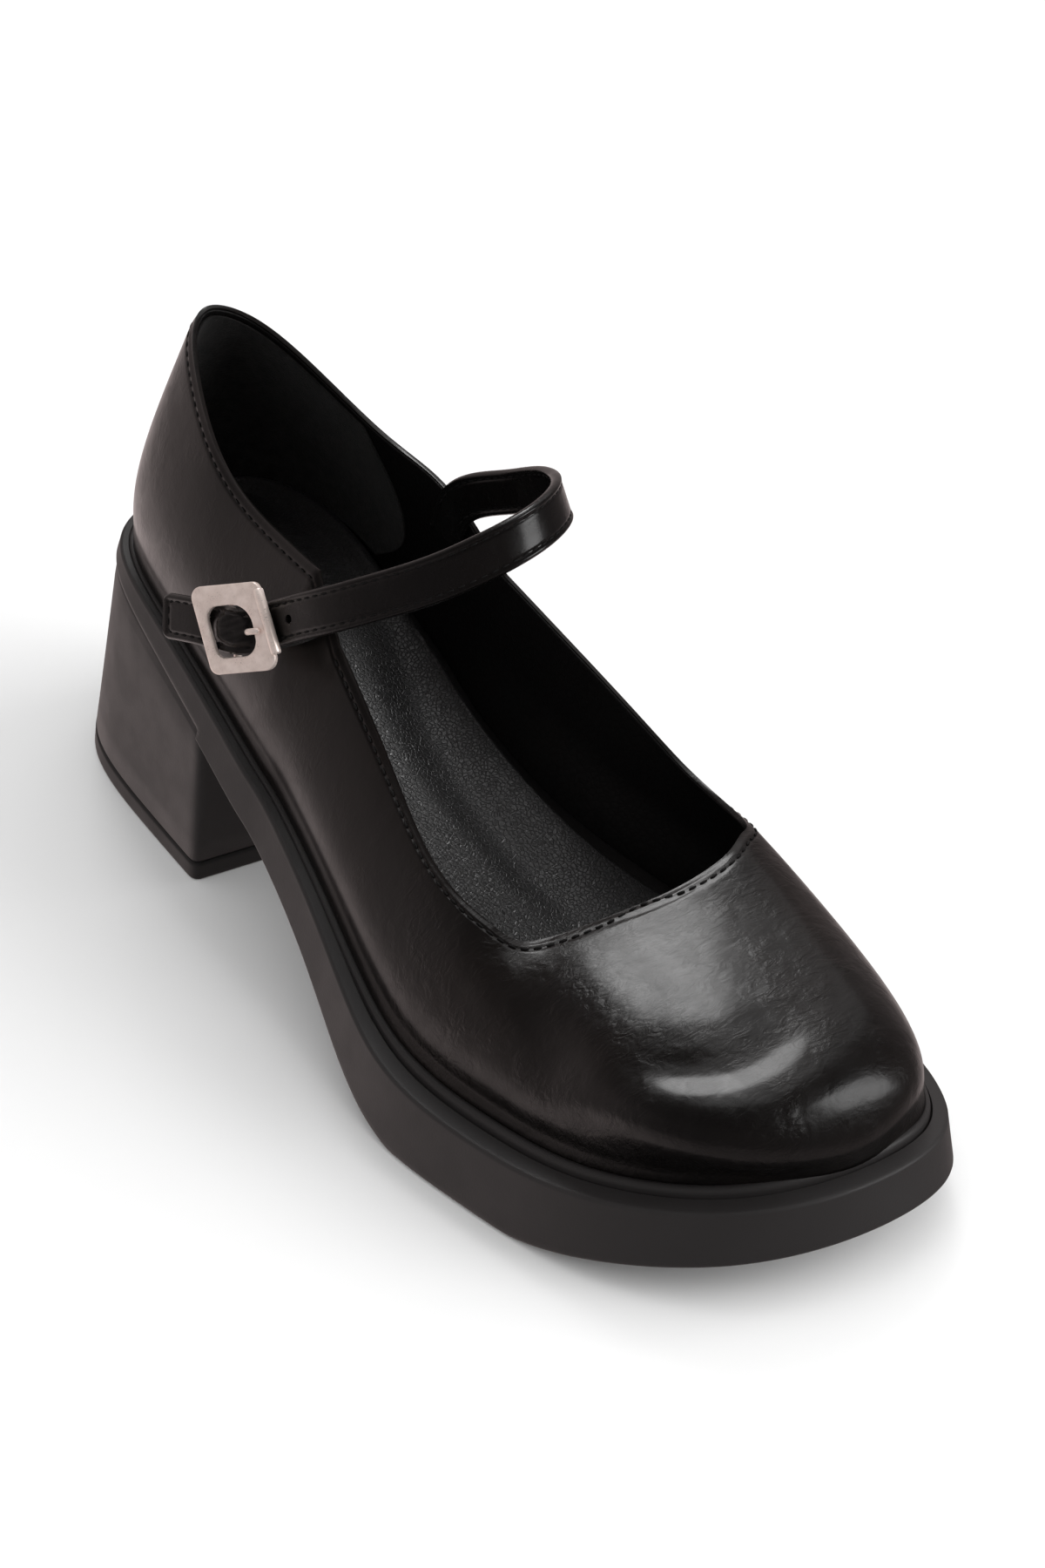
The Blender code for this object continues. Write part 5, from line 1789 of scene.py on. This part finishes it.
@dataclass
class Buckle:
    """Slanted plate with a window and a raised lip, hung on a bar, and its prong."""

    bench: Bench
    wardrobe: Wardrobe
    frame: BuckleFrame
    columns: int = 160
    bar_columns: int = 32
    wire_columns: int = 20
    wire_rows: int = 80
    outline: tuple[Corner, ...] = (
        Corner(7.4, 9.2, 2.0), Corner(-10.2, 9.5, 2.4), Corner(-6.3, -9.5, 2.3), Corner(10.4, -9.7, 2.6),
    )
    window: tuple[Corner, ...] = (
        Corner(4.6, 4.9, 5.4), Corner(-6.8, 4.9, 2.6), Corner(-4.4, -6.2, 2.4), Corner(5.9, -6.2, 3.2),
    )
    edge: float = 0.45
    lip_top: tuple[float, float] = (7.5, 7.6)
    lip_bottom: tuple[float, float] = (10.6, -6.4)
    lip_width: float = 1.05
    lip_height: float = 1.25
    end_round: float = 0.35
    prong: float = 0.7
    prong_clear: float = 0.35
    prong_reach: float = 7.7
    prong_y: float = -1.2
    lug_width: float = 0.65
    lug_height: float = 1.5
    lug_y: float = 7.5

    def build(self) -> None:
        """Make every piece."""
        frame = self.frame
        plate = self.metal_piece(self.plate(), "buckle_plate")
        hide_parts("buckle_frame")
        lip = self.bar((*self.lip_top, 0.0), (*self.lip_bottom, 0.0), self.lip_width, self.lip_height)
        self.metal_piece(lip, "buckle_lip")
        for y, name in ((-self.lug_y, "low"), (self.lug_y, "high")):
            foot, head = (frame.bar_x, y, -frame.bar_depth - 1.0), (frame.bar_x, y, -frame.plate / 2)
            self.metal_piece(self.bar(foot, head, self.lug_width, self.lug_height), f"buckle_lug_{name}")
        ends = [(frame.bar_x, y, -frame.bar_depth) for y in (-self.lug_y, self.lug_y)]
        self.metal_piece(self.bar(*ends, frame.bar_radius, frame.bar_radius), "buckle_bar")
        wire = self.metal_piece(self.prong_wire(), "buckle_prong_wire")
        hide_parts("buckle_prong")

    def metal_piece(self, bm: bmesh.types.BMesh, name: str) -> bpy.types.Object:
        """One piece of the buckle's metal."""
        return self.bench.piece(bm, name, Slot.METAL, self.wardrobe.metal, HARD_EDGE)

    def plate(self) -> bmesh.types.BMesh:
        """The plate, as a ring whose section has rounded edges."""
        soft, deep = self.edge, -self.frame.plate
        arc = [(soft * (1 - math.cos(a)), soft * (math.sin(a) - 1)) for a in np.linspace(0, math.pi / 2, 5)]
        section = [(self.outline, inset, level) for inset, level in arc]
        section += [(self.window, -inset, level) for inset, level in reversed(arc)]
        section += [(self.window, -inset, deep - level) for inset, level in arc]
        section += [(self.outline, inset, deep - level) for inset, level in reversed(arc)]

        def place(u: Array, v: Array) -> Array:
            """Points of the plate."""
            number = np.rint(v * len(section)).astype(int) % len(section)
            points = np.zeros((len(u), 3))
            for index, (ring, inset, level) in enumerate(section):
                here = number == index
                corners = np.array([(corner.x, corner.y) for corner in ring])
                radii = np.array([corner.radius for corner in ring])
                flat = rounded_ring(corners, radii, inset, u[here])
                points[here] = np.column_stack([flat, np.full(len(flat), level)])
            return self.frame.at(points)

        return self.bench.solid(self.columns, len(section), place)

    def bar(
        self, start: tuple[float, ...], end: tuple[float, ...], half_width: float, half_height: float
    ) -> bmesh.types.BMesh:
        """A bar between two points of the buckle's frame, with rounded ends cut square."""
        first, last = np.array(start), np.array(end)
        along = unit(last - first)
        out = np.array((0.0, 1.0, 0.0)) if abs(along[2]) > 0.9 else np.array((0.0, 0.0, 1.0))
        side = unit(np.cross(along, out))
        length = float(np.linalg.norm(last - first))
        soft = self.end_round
        ends = [(0.0, -half_width), (0.0, -soft), (soft * 0.3, -soft * 0.3), (soft, 0.0)]
        rows = ends + [(length - station, drawn) for station, drawn in reversed(ends)]

        def place(u: Array, v: Array) -> Array:
            """Points of the bar."""
            number = np.rint(v * (len(rows) - 1)).astype(int)
            station = np.array([row[0] for row in rows])[number]
            drawn = np.array([row[1] for row in rows])[number]
            angle = u * 2 * math.pi
            share = 1 + drawn / half_width
            across = side * (np.cos(angle) * half_width * share)[:, None]
            upward = out * (np.sin(angle) * half_height * share)[:, None]
            return self.frame.at(first + along * station[:, None] + across + upward)

        return self.bench.solid(self.bar_columns, len(rows) - 1, place)

    def prong_wire(self) -> bmesh.types.BMesh:
        """The prong: a bent wire hooked round the hinge bar."""
        bar_x, bar_z = self.frame.bar_x, -self.frame.bar_depth
        ring = self.frame.bar_radius + self.prong_clear + self.prong
        hook = [math.radians(degrees) for degrees in (-88, -58, -28, 2)]
        route = [(bar_x + ring * math.cos(a), bar_z + ring * math.sin(a)) for a in hook]
        route += [(bar_x + ring + 1.5, bar_z + 2.1), (3.2, -1.2)]
        route += [(4.8, self.prong + 0.25), (self.prong_reach, self.prong + 0.2)]
        path = np.array([(x, self.prong_y, z) for x, z in route])
        places = polyline_places(path)
        middle = SmoothCurve(places, path)

        def place(u: Array, v: Array) -> Array:
            """Points of the wire, with round ends."""
            station = v * places[-1]
            along = unit(middle(station + NUDGE) - middle(station - NUDGE))
            side = np.array([0.0, 1.0, 0.0])
            out = np.cross(along, side)
            from_end = np.minimum(station, places[-1] - station)
            thick = self.prong * np.sqrt(1 - (1 - np.clip(from_end / self.prong, 0, 1)) ** 2)
            angle = u * 2 * math.pi
            points = middle(station) + side * (np.cos(angle) * thick)[:, None]
            return self.frame.at(points + out * (np.sin(angle) * thick)[:, None])

        return self.bench.solid(self.wire_columns, self.wire_rows, place)


# ---------------------------------------------------------------------------------------------
# Studio
# ---------------------------------------------------------------------------------------------


@dataclass(frozen=True)
class Softbox:
    """A rectangular soft light that faces the shoe. Unless it is mirrored, shiny faces don't show it."""

    name: str
    toward: tuple[float, float, float]
    distance: float
    size: tuple[float, float]
    power: float
    mirrored: bool = True


@dataclass
class Studio:
    """Camera, lights and the pale floor."""

    last: Last
    azimuth: float = -37.348
    elevation: float = 35.644
    roll: float = 3.057
    distance: float = 953.6
    aim: tuple[float, float, float] = (6.6, -4.1, 46.6)
    lens: float = 102.4
    clip_start: float = 0.05
    floor_size: float = 12.0
    floor_tone: float = 0.76
    glow_reach: tuple[float, float] = (0.5, 3.0)
    far: float = 0.39
    near: float = 0.09
    side_ramp: tuple[float, float] = (-0.3, 1.0)
    low_gain: float = 2.5
    low_ramp: tuple[float, float] = (-0.25, -0.5)
    high_loss: float = 0.35
    high_ramp: tuple[float, float] = (0.25, 0.85)
    ambient: float = 0.45
    backdrop: float = 0.95
    tint: tuple[float, ...] = (1.0, 0.85, 0.83, 1.0)
    bright_side: tuple[float, ...] = (-0.17, 0.985, 0.0)
    softboxes: tuple[Softbox, ...] = (
        Softbox("key", (0.273, 0.536, 0.799), 1.6, (0.40, 0.42), 4.6),
        Softbox("edge", (0.602, 0.347, 0.719), 1.6, (0.75, 0.85), 0.85),
        Softbox("top", (0.203, 0.132, 0.970), 1.6, (0.75, 0.75), 1.6),
        Softbox("side", (0.55, -0.725, 0.42), 1.6, (0.75, 0.95), 7.6),
        Softbox("right_fill", (0.8, -0.5, 0.4), 1.6, (1.5, 1.5), 24.0, mirrored=False),
        Softbox("left_fill", (-0.9, -0.3, 0.5), 1.6, (1.5, 1.5), 8.0, mirrored=False),
        Softbox("even_fill", (0.05, 0.0, 1.0), 2.6, (4.0, 4.0), 38.0, mirrored=False),
    )

    def build(self) -> None:
        """Set the camera, the lights, the floor and the world."""
        self.set_camera()
        for box in self.softboxes:
            self.set_light(box)
        self.set_floor()
        self.set_world()
        bpy.context.scene.view_settings.view_transform = "Standard"

    def set_camera(self) -> None:
        """A long lens above the toe's outer side."""
        turn, lift, roll = (math.radians(value) for value in (self.azimuth, self.elevation, self.roll))
        back = Vector((math.sin(turn) * math.cos(lift), -math.cos(turn) * math.cos(lift), math.sin(lift)))
        right = Vector((math.cos(turn), math.sin(turn), 0.0))
        up = back.cross(right)
        sideways = right * math.cos(roll) + up * math.sin(roll)
        upward = up * math.cos(roll) - right * math.sin(roll)
        camera = bpy.data.objects.new("camera", bpy.data.cameras.new("camera"))
        bpy.context.scene.collection.objects.link(camera)
        camera.data.lens = self.lens
        camera.data.clip_start = self.clip_start
        place = Vector(self.last.world(self.aim)) + back * self.distance * MM
        turned = Matrix((sideways, upward, back)).transposed().to_4x4()
        camera.matrix_world = Matrix.Translation(place) @ turned
        bpy.context.scene.camera = camera

    def set_light(self, box: Softbox) -> None:
        """One softbox."""
        light = bpy.data.lights.new(box.name, "AREA")
        light.energy = box.power
        light.shape = "RECTANGLE"
        light.size, light.size_y = box.size
        lamp = bpy.data.objects.new(box.name, light)
        bpy.context.scene.collection.objects.link(lamp)
        toward = Vector(box.toward).normalized()
        lamp.visible_glossy = box.mirrored
        lamp.location = Vector(self.last.world(self.aim)) + toward * box.distance
        lamp.rotation_euler = toward.to_track_quat("Z", "Y").to_euler()

    def set_floor(self) -> None:
        """A wide pale floor, which glows far from the shoe so that it meets the pale surroundings."""
        bm = bmesh.new()
        bmesh.ops.create_grid(bm, x_segments=1, y_segments=1, size=self.floor_size)
        mesh = bpy.data.meshes.new("floor")
        bm.to_mesh(mesh)
        bm.free()
        make = Recipe("pale_floor")
        tone = (self.floor_tone, self.floor_tone, self.floor_tone, 1.0)
        away = make.node("ShaderNodeVectorMath", {"operation": "LENGTH"}, {0: make.place()}, "Value")
        glow = make.tint(make.between(away, *self.glow_reach), (0.0, 0.0, 0.0, 1.0), tone)
        mesh.materials.append(
            make.done(Base_Color=tone, Roughness=0.9, Emission_Color=glow, Emission_Strength=1.0)
        )
        floor = bpy.data.objects.new("floor", mesh)
        floor.visible_glossy = False
        bpy.context.scene.collection.objects.link(floor)

    def set_world(self) -> None:
        """Surroundings that are pale to look at, even as soft light, and darker in front when mirrored."""
        world = bpy.data.worlds.new("studio")
        world.use_nodes = True
        graph = Graph(world.node_tree)
        toward = graph.node("ShaderNodeTexCoord", output="Generated")
        sides: dict[str | int, Input] = {0: toward, 1: self.bright_side}
        behind = graph.node("ShaderNodeVectorMath", {"operation": "DOT_PRODUCT"}, sides, "Value")
        height = graph.node("ShaderNodeSeparateXYZ", {}, {"Vector": toward}, "Z")
        low = graph.between(height, *self.low_ramp, 1.0, self.low_gain)
        high = graph.between(height, *self.high_ramp, 1.0, self.high_loss)
        mirrored = graph.between(behind, *self.side_ramp, self.near, self.far) * low * high
        seen = graph.node("ShaderNodeLightPath", output="Is Camera Ray")
        soft = graph.node("ShaderNodeLightPath", output="Is Diffuse Ray")
        strength = graph.node("ShaderNodeMix", {}, {"Factor": soft, "A": mirrored, "B": self.ambient})
        strength = graph.node("ShaderNodeMix", {}, {"Factor": seen, "A": strength, "B": self.backdrop})
        tones: dict[str | int, Input] = {0: soft + seen, 6: self.tint, 7: (1.0, 1.0, 1.0, 1.0)}
        colour = graph.node("ShaderNodeMix", {"data_type": "RGBA"}, tones, 2)
        graph.feed(graph.tree.nodes["Background"].inputs["Color"], colour)
        graph.feed(graph.tree.nodes["Background"].inputs["Strength"], strength)
        bpy.context.scene.world = world


def main() -> None:
    """Build the shoe's looks piece by piece."""
    logging.basicConfig(level=logging.INFO, format="%(message)s")
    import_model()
    last = Last()
    bench = Bench(last)
    wardrobe = Wardrobe()
    frame = BuckleFrame()
    Upper(bench, wardrobe).build()
    Sole(bench, wardrobe).build()
    Footbed(bench, wardrobe).build()
    Strap(bench, wardrobe, frame).build()
    Elastic(bench, wardrobe, frame).build()
    Buckle(bench, wardrobe, frame).build()
    Studio(last).build()


if __name__ == "__main__":
    main()
